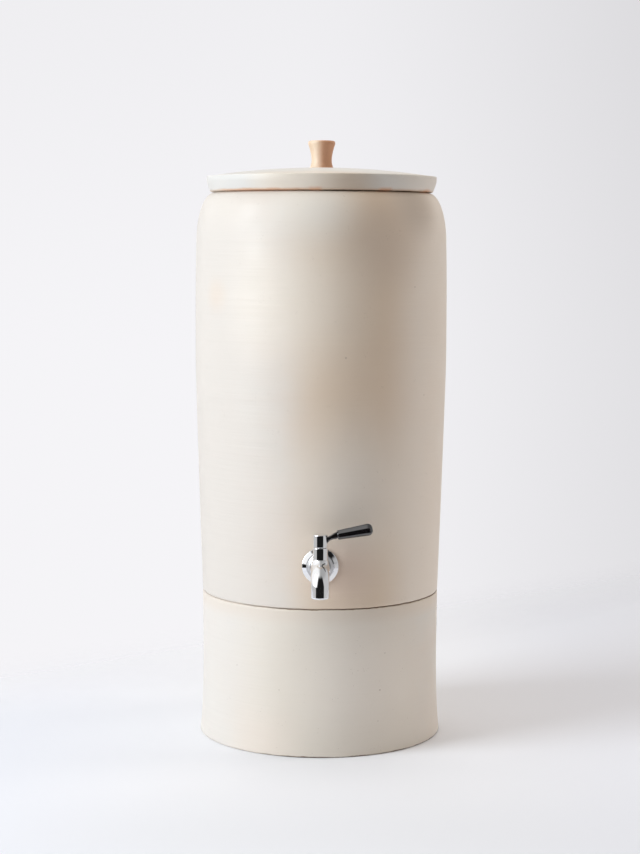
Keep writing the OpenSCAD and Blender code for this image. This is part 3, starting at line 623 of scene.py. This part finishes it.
def pale_wood():
    """Turned beech: grain up the knob, with painted shade that darkens it towards its right side."""
    paint = Paint("pale_wood")
    grain = paint.noise(34, 5, 0.62, paint.stretch(3.2, 3.2, 0.22), 0.5)
    pores = paint.noise(240, 3, 0.6, paint.stretch(2.6, 2.6, 0.16))
    colour = paint.ramp(grain, (0.30, srgb(222, 194, 166)), (0.50, srgb(236, 212, 186)),
                        (0.72, srgb(244, 224, 202)))
    # painted shade: darker, browner wood towards the right, away from the key lamp
    shade_to_right = paint.math("ADD", paint.split(paint.object)["X"], paint.product(grain, 4 * MM))
    colour = paint.mix(paint.between(shade_to_right, -5 * MM, 5 * MM, 0, 0.85), colour, srgb(198, 140, 104))
    colour = paint.mix(paint.between(pores, 0.58, 0.72, 0, 0.35), colour, srgb(176, 130, 92))
    paint.set(Base_Color=colour, Roughness=paint.between(grain, 0.3, 0.7, 0.58, 0.46))
    paint.bump(pores, 0.2 * MM, 0.5, paint.bump(grain, 0.2 * MM, 0.3))
    return paint.material


def metal(name, colour, low, high, brushed=False, satin=None):
    """Smeared metal, with fine level lines where it is brushed.

    satin is (radius, roughness, colour) of a duller middle round the piece's axis.
    """
    paint = Paint(name)
    paint.set(Base_Color=colour, Metallic=1.0)
    smears = paint.noise(60, 4, 0.6)
    rough = paint.between(smears, 0.35, 0.75, low, high)
    if satin:
        radius, dull, dull_colour = satin
        x, y, _ = paint.split(paint.object)
        rim = paint.between(paint.hypot(x, y), radius - 0.1 * MM, radius + 0.1 * MM)
        rough = paint.between(rim, 0, 1, dull, rough)
        paint.set(Base_Color=paint.mix(rim, dull_colour, colour))
    paint.set(Roughness=rough)
    waves = paint.noise(900, 2, 0.5, paint.stretch(0.08, 0.08, 1) if brushed else None)
    paint.bump(waves, 0.02 * MM if brushed else 0.004 * MM, 0.5)
    return paint.material


def plastic(name, colour, tint, low, high, grain=900, depth=0.02 * MM, ior=1.5):
    """Moulded plastic: faint colour drift, fine moulded grain, gloss from low to high."""
    paint = Paint(name)
    drift = paint.noise(24, 3, 0.6)
    paint.set(Base_Color=paint.mix(paint.between(drift, 0.3, 0.7), colour, tint), IOR=ior)
    paint.set(Roughness=paint.between(paint.noise(70, 3), 0.3, 0.7, low, high))
    paint.bump(paint.noise(grain, 2, 0.5), depth, 0.6)
    return paint.material


def clear_plastic():
    paint = Paint("clear_plastic")
    paint.set(Base_Color=(0.93, 0.97, 0.99, 1), Transmission_Weight=0.95, IOR=1.2)
    paint.set(Roughness=paint.between(paint.noise(50, 3), 0.3, 0.7, 0.03, 0.09))
    paint.bump(paint.noise(300, 2), 0.02 * MM, 0.4)
    return paint.material


def silicone():
    paint = Paint("silicone")
    paint.set(Base_Color=paint.mix(paint.noise(40, 3), srgb(232, 232, 226), srgb(216, 217, 212)))
    paint.set(Subsurface_Weight=0.25, Subsurface_Scale=2 * MM, Specular_IOR_Level=0.4)
    paint.set(Roughness=paint.between(paint.noise(120, 2), 0.3, 0.7, 0.42, 0.60))
    paint.bump(paint.noise(1200, 2), 0.03 * MM, 0.5)
    return paint.material


def grains(name, dark, light, scale, depth, rough=0.85):
    """Loose grains: each cell has its own tone and stands a little proud, with painted shade in the gaps
    between cells.
    """
    paint = Paint(name)
    tone, gloss, _ = paint.add("SeparateColor", Color=paint.cells(scale, output="Color")).outputs
    edge = paint.cells(scale, "DISTANCE_TO_EDGE")
    colour = paint.mix(tone, dark, light)
    # painted shade darkens each cell towards its edges, in the gaps between grains
    shade = [value * 0.45 for value in dark]
    colour = paint.mix(paint.between(edge, 0.0, 0.12, 0.85, 0), colour, shade)
    paint.set(Base_Color=colour, Roughness=paint.between(gloss, 0, 1, rough - 0.15, rough + 0.1))
    paint.bump(edge, depth, 0.8)
    return paint.material


def felt():
    paint = Paint("felt")
    fibres = paint.noise(700, 4, 0.7, None, 1.2)
    paint.set(Base_Color=paint.mix(fibres, srgb(214, 213, 206), srgb(242, 241, 236)))
    paint.set(Sheen_Weight=0.4, Sheen_Roughness=0.5)
    paint.set(Roughness=paint.between(fibres, 0.3, 0.7, 0.85, 0.98))
    paint.bump(fibres, 0.4 * MM, 0.7)
    return paint.material


def porous_ceramic():
    paint = Paint("porous_ceramic")
    clouds = paint.noise(30, 4, 0.6)
    pits = paint.cells(1300)
    colour = paint.mix(paint.between(clouds, 0.3, 0.7), srgb(240, 237, 229), srgb(228, 223, 212))
    colour = paint.mix(paint.between(pits, 0.05, 0.20, 0.25, 0), colour, srgb(190, 180, 165))
    paint.set(Base_Color=colour, Specular_IOR_Level=0.25)
    paint.set(Roughness=paint.between(clouds, 0.3, 0.7, 0.78, 0.92))
    paint.bump(paint.noise(800, 4, 0.6), 0.15 * MM, 0.6)
    return paint.material


# ---------------- mesh helpers

# Smallest angle between two faces that stays a crease, in degrees
CREASE = 38
NODE_CREASE = 30
NO_CREASE = 180


def lerp(a, b, t):
    return a + (b - a) * t


def spread(low, high, count):
    """Values in count even steps from low to high."""
    return [low + (high - low) * i / count for i in range(count + 1)]


def arc(cx, cz, radius, start, end, steps):
    """Points of an arc in the outline's plane, with angles in degrees."""
    angles = [math.radians(a) for a in spread(start, end, steps)]
    return [(cx + radius * math.cos(a), cz + radius * math.sin(a)) for a in angles]


def rounded(corners, steps=4):
    """Outline through corners (radius, height), where (radius, height, bend) rounds that corner.

    bend is how far before and after the corner its curve begins.
    """
    points = []
    for i, (r, z, *bend) in enumerate(corners):
        here = Vector((r, z))
        if not bend:
            points.append((r, z))
            continue
        start = here + (Vector(corners[i - 1][:2]) - here).normalized() * bend[0]
        end = here + (Vector(corners[(i + 1) % len(corners)][:2]) - here).normalized() * bend[0]
        for k in range(steps + 1):
            t = k / steps
            points.append(tuple(start.lerp(here, t).lerp(here.lerp(end, t), t)))
    return points


def lathe(name, points, segments, closed=False, shape=None, sharp=CREASE):
    """Turned solid from an outline of (radius, height). Closed outlines make a ring.

    An open outline starts and ends on the axis. shape(r, z, angle) may move a point.
    """
    mesh = bmesh.new()
    rings = []
    for r, z in points:
        if r < 1e-7:
            rings.append([mesh.verts.new((0, 0, z))])
            continue
        ring = []
        for i in range(segments):
            angle = 2 * math.pi * i / segments
            radius, height = shape(r, z, angle) if shape else (r, z)
            ring.append(mesh.verts.new((radius * math.cos(angle), radius * math.sin(angle), height)))
        rings.append(ring)
    pairs = zip(rings, rings[1:] + rings[:1]) if closed else zip(rings, rings[1:])
    for low, high in pairs:
        for i in range(segments):
            j = (i + 1) % segments
            corners = [low[i % len(low)], low[j % len(low)], high[j % len(high)], high[i % len(high)]]
            unique = list(dict.fromkeys(corners))
            if len(unique) > 2:
                mesh.faces.new(unique)
    bmesh.ops.recalc_face_normals(mesh, faces=mesh.faces)
    return finish_mesh(name, mesh, sharp)


def cut(obj, *cutters):
    """Cuts the cutters out of obj and deletes them."""
    for cutter in cutters:
        modifier = obj.modifiers.new("cut", "BOOLEAN")
        modifier.operation = "DIFFERENCE"
        modifier.solver = "EXACT"
        modifier.object = cutter
    graph = bpy.context.evaluated_depsgraph_get()
    mesh = bpy.data.meshes.new_from_object(obj.evaluated_get(graph))
    obj.modifiers.clear()
    obj.data = mesh
    for cutter in cutters:
        bpy.data.objects.remove(cutter)
    smooth(obj)
    return obj


def rod(radius, start, end, height):
    """Closed cylinder that lies along the tap's direction, from start to end out of the axis."""
    mesh = bmesh.new()
    place = Matrix.Translation((0, -(start + end) / 2, height)) @ Matrix.Rotation(math.pi / 2, 4, "X")
    bmesh.ops.create_cone(mesh, cap_ends=True, segments=96, radius1=radius, radius2=radius,
                          depth=abs(end - start), matrix=place)
    return finish_mesh("cutter", mesh)


def soft_min(a, b, width):
    """Smaller of two fields, with a fillet of about that width where they meet."""
    nearness = np.maximum(width - np.abs(a - b), 0) / width
    return np.minimum(a, b) - nearness * nearness * width / 4


def soft_max(a, b, width):
    return -soft_min(-a, -b, width)


def skin(name, field, low, high, cell):
    """Smooth closed mesh where field(points) is zero: grid quads, drawn onto the surface."""
    axes = [np.arange(a, b + cell, cell) for a, b in zip(low, high)]
    grid = np.stack(np.meshgrid(*axes, indexing="ij"), -1)
    inside = field(grid) < 0
    lower, upper = slice(None, -1), slice(1, None)
    corners = sum(inside[corner].astype(int) for corner in itertools.product((lower, upper), repeat=3))
    mixed = (corners > 0) & (corners < 8)
    number = np.full(mixed.shape, -1)
    number[mixed] = np.arange(mixed.sum())
    points = grid[:-1, :-1, :-1][mixed] + cell / 2
    quads = []
    for axis in range(3):
        u, v = (other for other in range(3) if other != axis)
        edges = np.argwhere(np.diff(inside.astype(int), axis=axis) != 0)
        around_edge = []
        for du, dv in ((-1, -1), (0, -1), (0, 0), (-1, 0)):
            cells = edges.copy()
            cells[:, u] += du
            cells[:, v] += dv
            around_edge.append(number[tuple(cells.T)])
        quads.append(np.stack(around_edge, -1))
    quads = np.concatenate(quads)

    def onto_surface(at):
        step = cell / 10
        for _ in range(4):
            rises = [field(at + step * axis) - field(at - step * axis) for axis in np.eye(3)]
            slope = np.stack(rises, -1) / (2 * step)
            at = at - slope * (field(at) / np.maximum((slope ** 2).sum(-1), 0.05))[:, None]
        return at

    points = onto_surface(points)
    for _ in range(4):
        total = np.zeros_like(points)
        count = np.zeros(len(points))
        for here, there in ((0, 1), (1, 2), (2, 3), (3, 0), (1, 0), (2, 1), (3, 2), (0, 3)):
            np.add.at(total, quads[:, here], points[quads[:, there]])
            np.add.at(count, quads[:, here], 1)
        points = onto_surface(0.5 * points + 0.5 * total / count[:, None])
    mesh = bmesh.new()
    verts = [mesh.verts.new(point) for point in points]
    for quad in quads:
        mesh.faces.new([verts[i] for i in quad])
    bmesh.ops.recalc_face_normals(mesh, faces=mesh.faces)
    return finish_mesh(name, mesh, NO_CREASE)


def finish_mesh(name, mesh, sharp=CREASE):
    data = bpy.data.meshes.new(name)
    mesh.to_mesh(data)
    mesh.free()
    obj = add_object(name, data)
    smooth(obj, sharp)
    return obj


def smooth(obj, sharp=CREASE):
    """Smooth shading, with a crease wherever two faces meet at more than sharp degrees."""
    for face in obj.data.polygons:
        face.use_smooth = True
    obj.data.set_sharp_from_angle(angle=math.radians(sharp))


def coat(obj, material):
    obj.data.materials.clear()
    obj.data.materials.append(material)


def dress(obj, material, body, node):
    """Gives a new piece its material and its body, and hides the CAD node that it stands for."""
    coat(obj, material)
    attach(obj, body)
    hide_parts(node)


def finish_node(node, material):
    """Better material and shading on a CAD node that stays."""
    coat(NODES[node], material)
    smooth(NODES[node], NODE_CREASE)


# ---------------- floor


def floor():
    """Pale floor under the filter, which gives way to the paper far out."""
    mesh = bmesh.new()
    corners = ((-1, -1), (1, -1), (1, 1), (-1, 1))
    mesh.faces.new([mesh.verts.new((x * FLOOR_HALF, y * FLOOR_HALF, -FLOOR_DROP)) for x, y in corners])
    obj = finish_mesh("floor", mesh)
    paint = Paint("floor")
    x, y, _ = paint.split(paint.object)
    colour = paint.mix(paint.noise(2, 2), srgb(240, 241, 245), srgb(242, 243, 247))
    # painted shade: the floor's colour darkens in front and to either side
    front = paint.between(paint.product(y, -1), *FLOOR_SHADE_FRONT)
    colour = paint.mix(paint.product(front, 0.6), colour, srgb(227, 229, 234))
    shade_aside = paint.between(paint.math("ABSOLUTE", x), *FLOOR_SHADE_ASIDE)
    paint.set(Base_Color=paint.mix(shade_aside, colour, srgb(231, 233, 240)), Specular_IOR_Level=0.15)
    paint.set(Roughness=paint.between(paint.noise(8, 2), 0.3, 0.7, 0.75, 0.85))
    # far out, and nearer to the left behind, the camera sees the paper through the floor,
    # and metal sees the studio
    away = paint.distance((0, 0, 0))
    behind = paint.math("SUBTRACT", y, paint.product(x, 0.8))
    far = paint.math("MAXIMUM", paint.between(away, *FLOOR_ENDS), paint.between(behind, *FLOOR_ENDS_BEHIND))
    path = paint.add("LightPath").outputs
    clear = paint.math("MAXIMUM", paint.product(far, path["Is Camera Ray"]),
                       paint.product(paint.between(away, *FLOOR_ENDS_IN_METAL), path["Is Glossy Ray"]))
    shown = paint.mix_shader(clear, paint.shader.outputs[0], paint.add("BsdfTransparent").outputs[0])
    paint.feed(paint.tree.nodes["Material Output"], "Surface", shown)
    obj.data.materials.append(paint.material)


# ---------------- stoneware


def stand_r(z):
    """Radius of the stand's outside at height z."""
    if z < WAIST_Z:
        return WAIST_R + (STAND_FOOT_R - WAIST_R) * (1 - z / WAIST_Z) ** STAND_FLARE
    return WAIST_R + (SEAM_R - WAIST_R) * (z - WAIST_Z) / (SEAM_Z - WAIST_Z)


def crock_r(z):
    """Radius of the crock's outside at height z, up to the shoulder."""
    above_belly = z - SEAM_Z - BELLY_H
    if above_belly < 0:
        return BELLY_R - (BELLY_R - SEAM_R) * (-above_belly / BELLY_H) ** BELLY_CURVE
    upper_h = RIM_Z - SHOULDER_H - SEAM_Z - BELLY_H
    return BELLY_R - (BELLY_R - SHOULDER_R) * (above_belly / upper_h) ** UPPER_CURVE


def by_hand(depth):
    """Slight unevenness of a hand-thrown pot, always inwards and up to depth."""
    across, up = 1.3, 14

    def shape(r, z, angle):
        place = Vector((across * math.cos(angle), across * math.sin(angle), up * z))
        return r - depth * (0.5 + 0.5 * noise.noise(place)), z

    return shape


def stand():
    """Ring-shaped stand with an even wall and softened glazed edges."""
    outline = rounded(
        [(stand_r(0) - STAND_WALL, 0, 1.2 * MM), (STAND_FOOT_R, 0, 1 * MM)]
        + [(stand_r(z), z) for z in spread(WALL_END, SEAM_Z - WALL_END, 40)]
        + [(SEAM_R, SEAM_Z, 2.4 * MM), (SEAM_R - STAND_WALL, SEAM_Z, 2 * MM)]
        + [(stand_r(z) - STAND_WALL, z) for z in spread(SEAM_Z - WALL_END, WALL_END, 16)])
    return lathe("stand_glazed", outline, POT_SEGMENTS, closed=True, shape=by_hand(0.15 * MM))


def crock():
    """Crock with a foot, a ledge for the bowl, a rounded rim and the hole for the tap."""
    inner_foot_r = FOOT_R - FOOT_W
    floor_z = CROCK_FOOT_Z + CROCK_FLOOR
    shoulder_z = RIM_Z - SHOULDER_H
    ledge_z = RIM_Z - LEDGE_DEPTH
    under_ledge_z = ledge_z - LEDGE_LIP
    ledge_root_r = crock_r(under_ledge_z - LEDGE_ROOT_H) - CROCK_WALL - LEDGE_ROOT_W
    shoulder = [(RIM_R + (SHOULDER_R - RIM_R) * math.cos(math.radians(a)),
                 shoulder_z + SHOULDER_H * math.sin(math.radians(a))) for a in range(5, 90, 5)]
    outline = rounded(
        [(0, CROCK_FOOT_Z + FOOT_HOLLOW), (inner_foot_r, CROCK_FOOT_Z + FOOT_HOLLOW, SOFT_EDGE),
         (inner_foot_r, CROCK_FOOT_Z, SOFT_EDGE), (FOOT_R, CROCK_FOOT_Z, SOFT_EDGE),
         (FOOT_R, SEAM_Z, 0.4 * MM), (SEAM_R, SEAM_Z, 2.4 * MM)]
        + [(crock_r(z), z) for z in spread(SEAM_Z + WALL_END, shoulder_z, 90)] + shoulder
        + [(RIM_R, RIM_Z, 1.6 * MM), (MOUTH_R, RIM_Z, 2 * MM), (MOUTH_R, ledge_z, 1 * MM),
           (LEDGE_R, ledge_z, SOFT_EDGE), (LEDGE_R, under_ledge_z, 2 * MM),
           (ledge_root_r, under_ledge_z, 4 * MM)]
        + [(crock_r(z) - CROCK_WALL, z) for z in spread(shoulder_z, floor_z + CROCK_CORNER, 30)]
        + [(SEAM_R - CROCK_WALL, floor_z, 12 * MM), (0, floor_z)])
    pot = lathe("crock_glazed", outline, POT_SEGMENTS, shape=by_hand(0.2 * MM))
    # the tap's hole, with a flat spot for the washer on either side of the wall
    outside = -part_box("tap_outer_washer")[1].y
    inside = -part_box("tap_inner_washer")[0].y
    return cut(pot, rod(TAP_HOLE_R, inside - TAP_HOLE_PAST, outside + TAP_HOLE_PAST, TAP_Z),
               rod(SPOT_R, outside, outside + SPOT_CUT_L, TAP_Z),
               rod(SPOT_R, inside - SPOT_CUT_L, inside, TAP_Z))


def lid_top(r):
    """Height of the lid's top above the rim at radius r."""
    return LID_EDGE_H + LID_RISE * (1 - (r / LID_R) ** 2)


def lid():
    """Domed lid with a soft edge, a locating ring below and a flat land for the knob."""
    inner_r = LID_RING_R - LID_RING_W
    seat = lid_top(LID_SEAT_R) - LID_T
    land = LID_LAND_Z - RIM_Z
    ring_z = LID_RING_Z - RIM_Z
    outline = rounded(
        [(LID_HOLE_R, seat), (LID_SEAT_R, seat)]
        + [(r, lid_top(r) - LID_T) for r in spread(LID_SEAT_R + 2 * MM, inner_r - 2 * MM, 20)]
        + [(inner_r, lid_top(inner_r) - LID_T, SOFT_EDGE), (inner_r, ring_z, SOFT_EDGE),
           (LID_RING_R, ring_z, SOFT_EDGE), (LID_RING_R, 0, 0.6 * MM), (RIM_R - 1.5 * MM, 0),
           (RIM_R - 0.5 * MM, 0.8 * LID_GAP), (LID_BASE_R, LID_GAP, 1.6 * MM),
           (LID_R, LID_SIDE_H, 3 * MM), (LID_R, LID_EDGE_H + 0.4 * MM, 0.9 * MM)]
        + [(r, lid_top(r)) for r in spread(LID_R - 3 * MM, KNOB_FOOT_R + 1 * MM, 40)]
        + [(KNOB_FOOT_R, land), (LID_HOLE_R, land)])
    turned = lathe("lid_glazed", outline, POT_SEGMENTS, closed=True, shape=by_hand(0.12 * MM))
    turned.location.z = RIM_Z
    return turned


def knob():
    """Turned wooden knob: a flared head over a waist, with a blind bore for its screw."""
    brow_z = KNOB_H - KNOB_BROW
    outline = rounded(
        [(0, KNOB_BORE_H), (KNOB_BORE_R, KNOB_BORE_H), (KNOB_BORE_R, 0), (KNOB_FOOT_R, 0, 0.5 * MM)]
        + [(lerp(KNOB_WAIST_R, KNOB_FOOT_R, (1 - t) ** 2), KNOB_WAIST_H * t) for t in spread(0.15, 1, 8)]
        + [(lerp(KNOB_WAIST_R, KNOB_HEAD_R, t ** 1.7), lerp(KNOB_WAIST_H, brow_z, t))
           for t in spread(0.08, 1, 12)]
        + [(KNOB_HEAD_R, KNOB_H - 0.3 * MM, 2.4 * MM), (0, KNOB_H)])
    turned = lathe("knob_turned", outline, 96)
    turned.location.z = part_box("lid_knob")[0].z
    return turned


# ---------------- tap


def tap_field(points):
    """Below zero inside the tap's body in front of the escutcheon, with fillets at its joints."""
    x, out, z = points[..., 0], -points[..., 1], points[..., 2]
    up = z - TAP_Z
    barrel = np.sqrt(x ** 2 + up ** 2 + np.maximum(out - BEND_OUT, 0) ** 2)
    beyond, above = out - BEND_OUT, up + BEND_R
    bend = np.sqrt((np.hypot(beyond, above) - BEND_R) ** 2 + x ** 2)
    # the bend is a quarter ring, so elsewhere it is taken as a metre away
    bend = np.where((beyond > 0) & (above > 0), bend, 1.0)
    drop = np.sqrt(x ** 2 + (out - SPOUT_OUT) ** 2 + np.maximum(above, 0) ** 2)
    tube = np.minimum(np.minimum(barrel, bend), drop) - BARREL_R
    tube = soft_max(tube, SPOUT_Z - z, 1.2 * MM)
    housing = soft_max(np.hypot(x, out - VALVE_OUT) - HOUSING_R, z - HOUSING_Z, 0.8 * MM)
    housing = soft_max(housing, -up, 1 * MM)
    body = soft_max(soft_min(tube, housing, 5 * MM), FLANGE_FACE_OUT - 1.5 * MM - out, 0.6 * MM)
    round_spout = np.hypot(x, out - SPOUT_OUT)
    mouth = soft_max(round_spout - SPOUT_BORE_R, z - SPOUT_Z - SPOUT_BORE_H, 1 * MM)
    way = soft_max(round_spout - WATERWAY_R, z - SPOUT_Z - WATERWAY_H, 3 * MM)
    return soft_max(body, -np.minimum(mouth, way), 0.8 * MM)


def on_tap_axis(turned, out):
    """Lays a turned piece on the tap's axis, facing the front, with its foot at out."""
    turned.rotation_euler = (math.pi / 2, 0, 0)
    turned.location = (0, -out, TAP_Z)
    return turned


def tap_body():
    """Cast body with its barrel, bent spout and valve housing, and the threaded shank behind it."""
    reach = BARREL_R + 2 * MM
    body = skin("tap_cast", tap_field, (-reach, -SPOUT_OUT - reach, SPOUT_Z - 2 * MM),
                (reach, -FLANGE_FACE_OUT + 3 * MM, HOUSING_Z + 2 * MM), CAST_CELL)
    length = FLANGE_FACE_OUT - 1 * MM - SHANK_OUT
    thread_l = length - SHANK_PLAIN_L
    tip_l = 0.8 * MM

    def thread(r, z, angle):
        if r <= SHANK_R - 0.1 * MM:
            return r, z
        turn = (z / THREAD_PITCH + angle / (2 * math.pi)) % 1
        # the thread fades out towards the tip and the plain part
        fade = min(1, max(0, (thread_l - z) / THREAD_RUNOUT), max(0, z / (1 * MM)))
        return r - THREAD_DEPTH * abs(2 * turn - 1) * fade, z

    outline = ([(SHANK_BORE_R, length), (SHANK_BORE_R, 0), (SHANK_R - tip_l, 0)]
               + [(SHANK_R, z) for z in spread(tip_l, thread_l, 120)] + [(SHANK_R, length)])
    shank = lathe("tap_shank", outline, 48, closed=True, shape=thread, sharp=60)
    return body, on_tap_axis(shank, SHANK_OUT)


def tap_flange():
    """Turned escutcheon: a sloped ring, a fine groove and a raised collar."""
    depth = FLANGE_FACE_OUT - FLANGE_BACK_OUT
    bore = SHANK_R + 0.1 * MM
    slope = [(lerp(FLANGE_R, FLANGE_RING_R, t), lerp(FLANGE_EDGE_T, FLANGE_RING_T, t))
             for t in spread(0.15, 0.93, 3)]
    groove = FLANGE_RING_T - 0.15 * MM
    outline = rounded(
        [(bore, 0), (FLANGE_R, 0, 0.2 * MM), (FLANGE_R, FLANGE_EDGE_T, 0.2 * MM)] + slope
        + [(FLANGE_RING_R, FLANGE_RING_T, 0.15 * MM), (FLANGE_RING_R - 0.2 * MM, groove),
           (COLLAR_R, groove)]
        + [(lerp(COLLAR_R, COLLAR_TOP_R, t), lerp(groove, depth, t)) for t in (0.05, 0.5, 0.85)]
        + [(COLLAR_TOP_R, depth, 0.35 * MM), (COLLAR_TOP_R - 0.6 * MM, depth), (bore, depth)])
    return on_tap_axis(lathe("tap_escutcheon", outline, 128, closed=True), FLANGE_BACK_OUT)


def lever_neck():
    """Flat curved neck out of the cap, with softened rims. It ends inside the grip."""
    low, high = GRIP_Z - GRIP_R0 + 1 * MM, GRIP_Z + GRIP_R0 - 0.3 * MM
    lean = math.tan(math.radians(GRIP_TILT))
    into_grip = GRIP_X + 1.6 * MM
    scoop_x = NECK_END - 0.7 * MM
    scoop_start = math.degrees(math.acos((NECK_ROOT - scoop_x) / SCOOP_R))
    scoop = arc(scoop_x, low - SCOOP_R, SCOOP_R, scoop_start, 90, 12)
    crown = rounded([(into_grip - (high - GRIP_Z) * lean, high), (CAP_R + 0.8 * MM, NECK_UP, 1.5 * MM),
                     (NECK_ROOT, NECK_UP - 0.1 * MM)], 6)
    outline = scoop + [(NECK_END, low), (into_grip + TENON_R * lean, GRIP_Z - TENON_R)] + crown
    mesh = bmesh.new()
    mesh.faces.new([mesh.verts.new((x, -NECK_W / 2, z)) for x, z in outline])
    made = bmesh.ops.extrude_face_region(mesh, geom=list(mesh.faces))
    for vert in (item for item in made["geom"] if isinstance(item, bmesh.types.BMVert)):
        vert.co.y += NECK_W
    bmesh.ops.recalc_face_normals(mesh, faces=mesh.faces)
    rims = [edge for edge in mesh.edges if abs(edge.verts[0].co.y - edge.verts[1].co.y) < 1e-6]
    bmesh.ops.bevel(mesh, geom=rims, offset=NECK_BEVEL, segments=3, affect="EDGES", profile=0.5)
    neck = finish_mesh("lever_neck", mesh, 40)
    neck.location = (0, -VALVE_OUT, STUD_Z)
    return neck


def lever_handle():
    """Tapered grip with four flat faces and a round end."""
    taper_l = GRIP_L - GRIP_END_R
    outline = rounded(
        [(0, 0), (GRIP_R0, 0, 1.2 * MM)]
        + [(lerp(GRIP_R0, GRIP_R1, t), taper_l * t) for t in spread(0.1, 0.98, 12)]
        + [(GRIP_R1 - GRIP_END_R + GRIP_END_R * math.cos(a), taper_l + GRIP_END_R * math.sin(a))
           for a in spread(0.05, math.pi / 2, 12)] + [(0, GRIP_L)])

    def moulded(r, z, angle):
        faces = sum((max(math.cos(angle - math.radians(way)), 0) / GRIP_FLATNESS) ** GRIP_SHARPNESS
                    for way in GRIP_FACES)
        return r * (1 + faces) ** (-1 / GRIP_SHARPNESS), z

    grip = lathe("lever_handle", outline, 128, shape=moulded)
    grip.matrix_world = (Matrix.Translation((GRIP_X, -VALVE_OUT, STUD_Z + GRIP_Z))
                         @ Matrix.Rotation(math.radians(90 - GRIP_TILT), 4, "Y"))
    return grip


# ---------------- loose stones


def pebbles():
    """One tumbled pebble for each of the basket's stones, each inside that stone's ball."""
    random.seed(5)
    mesh = bmesh.new()
    low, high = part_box("mineral_stones")
    pitch = 2 * STONE_R + STONE_GAP
    places = [(0.0, 0.0)]
    for ring in range(1, round(((high.x - low.x) / 2 - STONE_R) / pitch) + 1):
        for side in range(6):
            for j in range(ring):
                a, b = math.radians(60 * side), math.radians(60 * side + 120)
                places.append((pitch * (ring * math.cos(a) + j * math.cos(b)),
                               pitch * (ring * math.sin(a) + j * math.sin(b))))
    for layer in range(round((high.z - low.z - 2 * STONE_R) / pitch) + 1):
        for x, y in places:
            flat = [random.uniform(STONE_FLATTEST, 1) for _ in range(3)]
            angle = random.uniform(0, math.pi)
            turn = Matrix.Rotation(angle, 4, Vector([random.uniform(-1, 1) for _ in range(3)]))
            middle = Vector((x, y, low.z + STONE_R + layer * pitch))
            seed = Vector([random.uniform(-50, 50) for _ in range(3)])
            ball = bmesh.ops.create_icosphere(mesh, subdivisions=3, radius=1)
            for vert in ball["verts"]:
                dent = 1 - STONE_DENTS * (0.5 + 0.5 * noise.noise(vert.co * 1.1 + seed))
                spot = Vector((vert.co.x * flat[0], vert.co.y * flat[1], vert.co.z * flat[2]))
                vert.co = middle + turn @ (spot * dent * STONE_R)
    return finish_mesh("pebbles", mesh, NO_CREASE)


# ---------------- build

set_camera()
set_world()
set_lights()
floor()

chrome = metal("chrome", (0.86, 0.86, 0.87, 1), 0.03, 0.07)
plated = metal("plated", (0.84, 0.84, 0.85, 1), 0.03, 0.07, satin=(COLLAR_R, 0.30, (0.56, 0.56, 0.57, 1)))
steel = metal("steel", (0.68, 0.68, 0.69, 1), 0.22, 0.34, brushed=True)
black = plastic("black_gloss", srgb(14, 11, 12), srgb(19, 14, 15), 0.07, 0.14, ior=2.05)
white = plastic("white_plastic", srgb(236, 236, 232), srgb(229, 229, 224), 0.36, 0.48)
blue = plastic("blue_plastic", srgb(86, 142, 182), srgb(76, 130, 172), 0.34, 0.46)
rubber = plastic("black_rubber", srgb(22, 22, 22), srgb(30, 30, 30), 0.55, 0.7)
clay_balls = plastic("clay_balls", srgb(178, 112, 82), srgb(196, 134, 102), 0.75, 0.9, 500, 0.2 * MM)
soft = silicone()
sand = grains("sand", srgb(196, 180, 146), srgb(236, 226, 200), 900, 0.6 * MM)
zeolite = grains("zeolite", srgb(150, 160, 148), srgb(200, 206, 194), 420, 1 * MM)
carbon = grains("carbon", srgb(18, 18, 18), srgb(52, 52, 54), 520, 0.9 * MM, 0.6)
stones = grains("stones", srgb(120, 112, 100), srgb(176, 168, 152), 60, 0.3 * MM, 0.7)

for node, material in {
        "tap_bonnet": chrome, "tap_cap": chrome, "tap_outer_washer": soft, "tap_inner_washer": soft,
        "tap_nut": steel, "tap_plug": steel, "plug_o_rings": rubber, "knob_screw": steel,
        "knob_washer": soft, "filter_bowl": white, "bowl_seal": soft,
        "dome_shell": porous_ceramic(), "dome_base": white, "dome_gasket": soft,
        "stem_washer": soft, "stem_nut": white, "cartridge_seal": soft, "cartridge_cap": blue,
        "cartridge_tube": clear_plastic(), "cartridge_base": blue, "filter_pads": felt(),
        "media_sand": sand, "media_zeolite": zeolite, "media_carbon": carbon,
        "media_balls": clay_balls, "mineral_basket": white}.items():
    finish_node(node, material)

dress(stand(), stand_glaze(), "stand", "stand")
dress(crock(), crock_glaze(), "crock", "crock")
dress(lid(), lid_glaze(), "lid", "lid")
dress(knob(), pale_wood(), "lid", "lid_knob")
dress(tap_flange(), plated, "crock", "tap_flange")
for piece in tap_body():
    dress(piece, chrome, "crock", "tap_body")
dress(lever_neck(), black, "tap_lever", "lever_arm")
dress(lever_handle(), black, "tap_lever", "lever_grip")
dress(pebbles(), stones, "crock", "mineral_stones")

bpy.context.scene.view_settings.view_transform = "Standard"
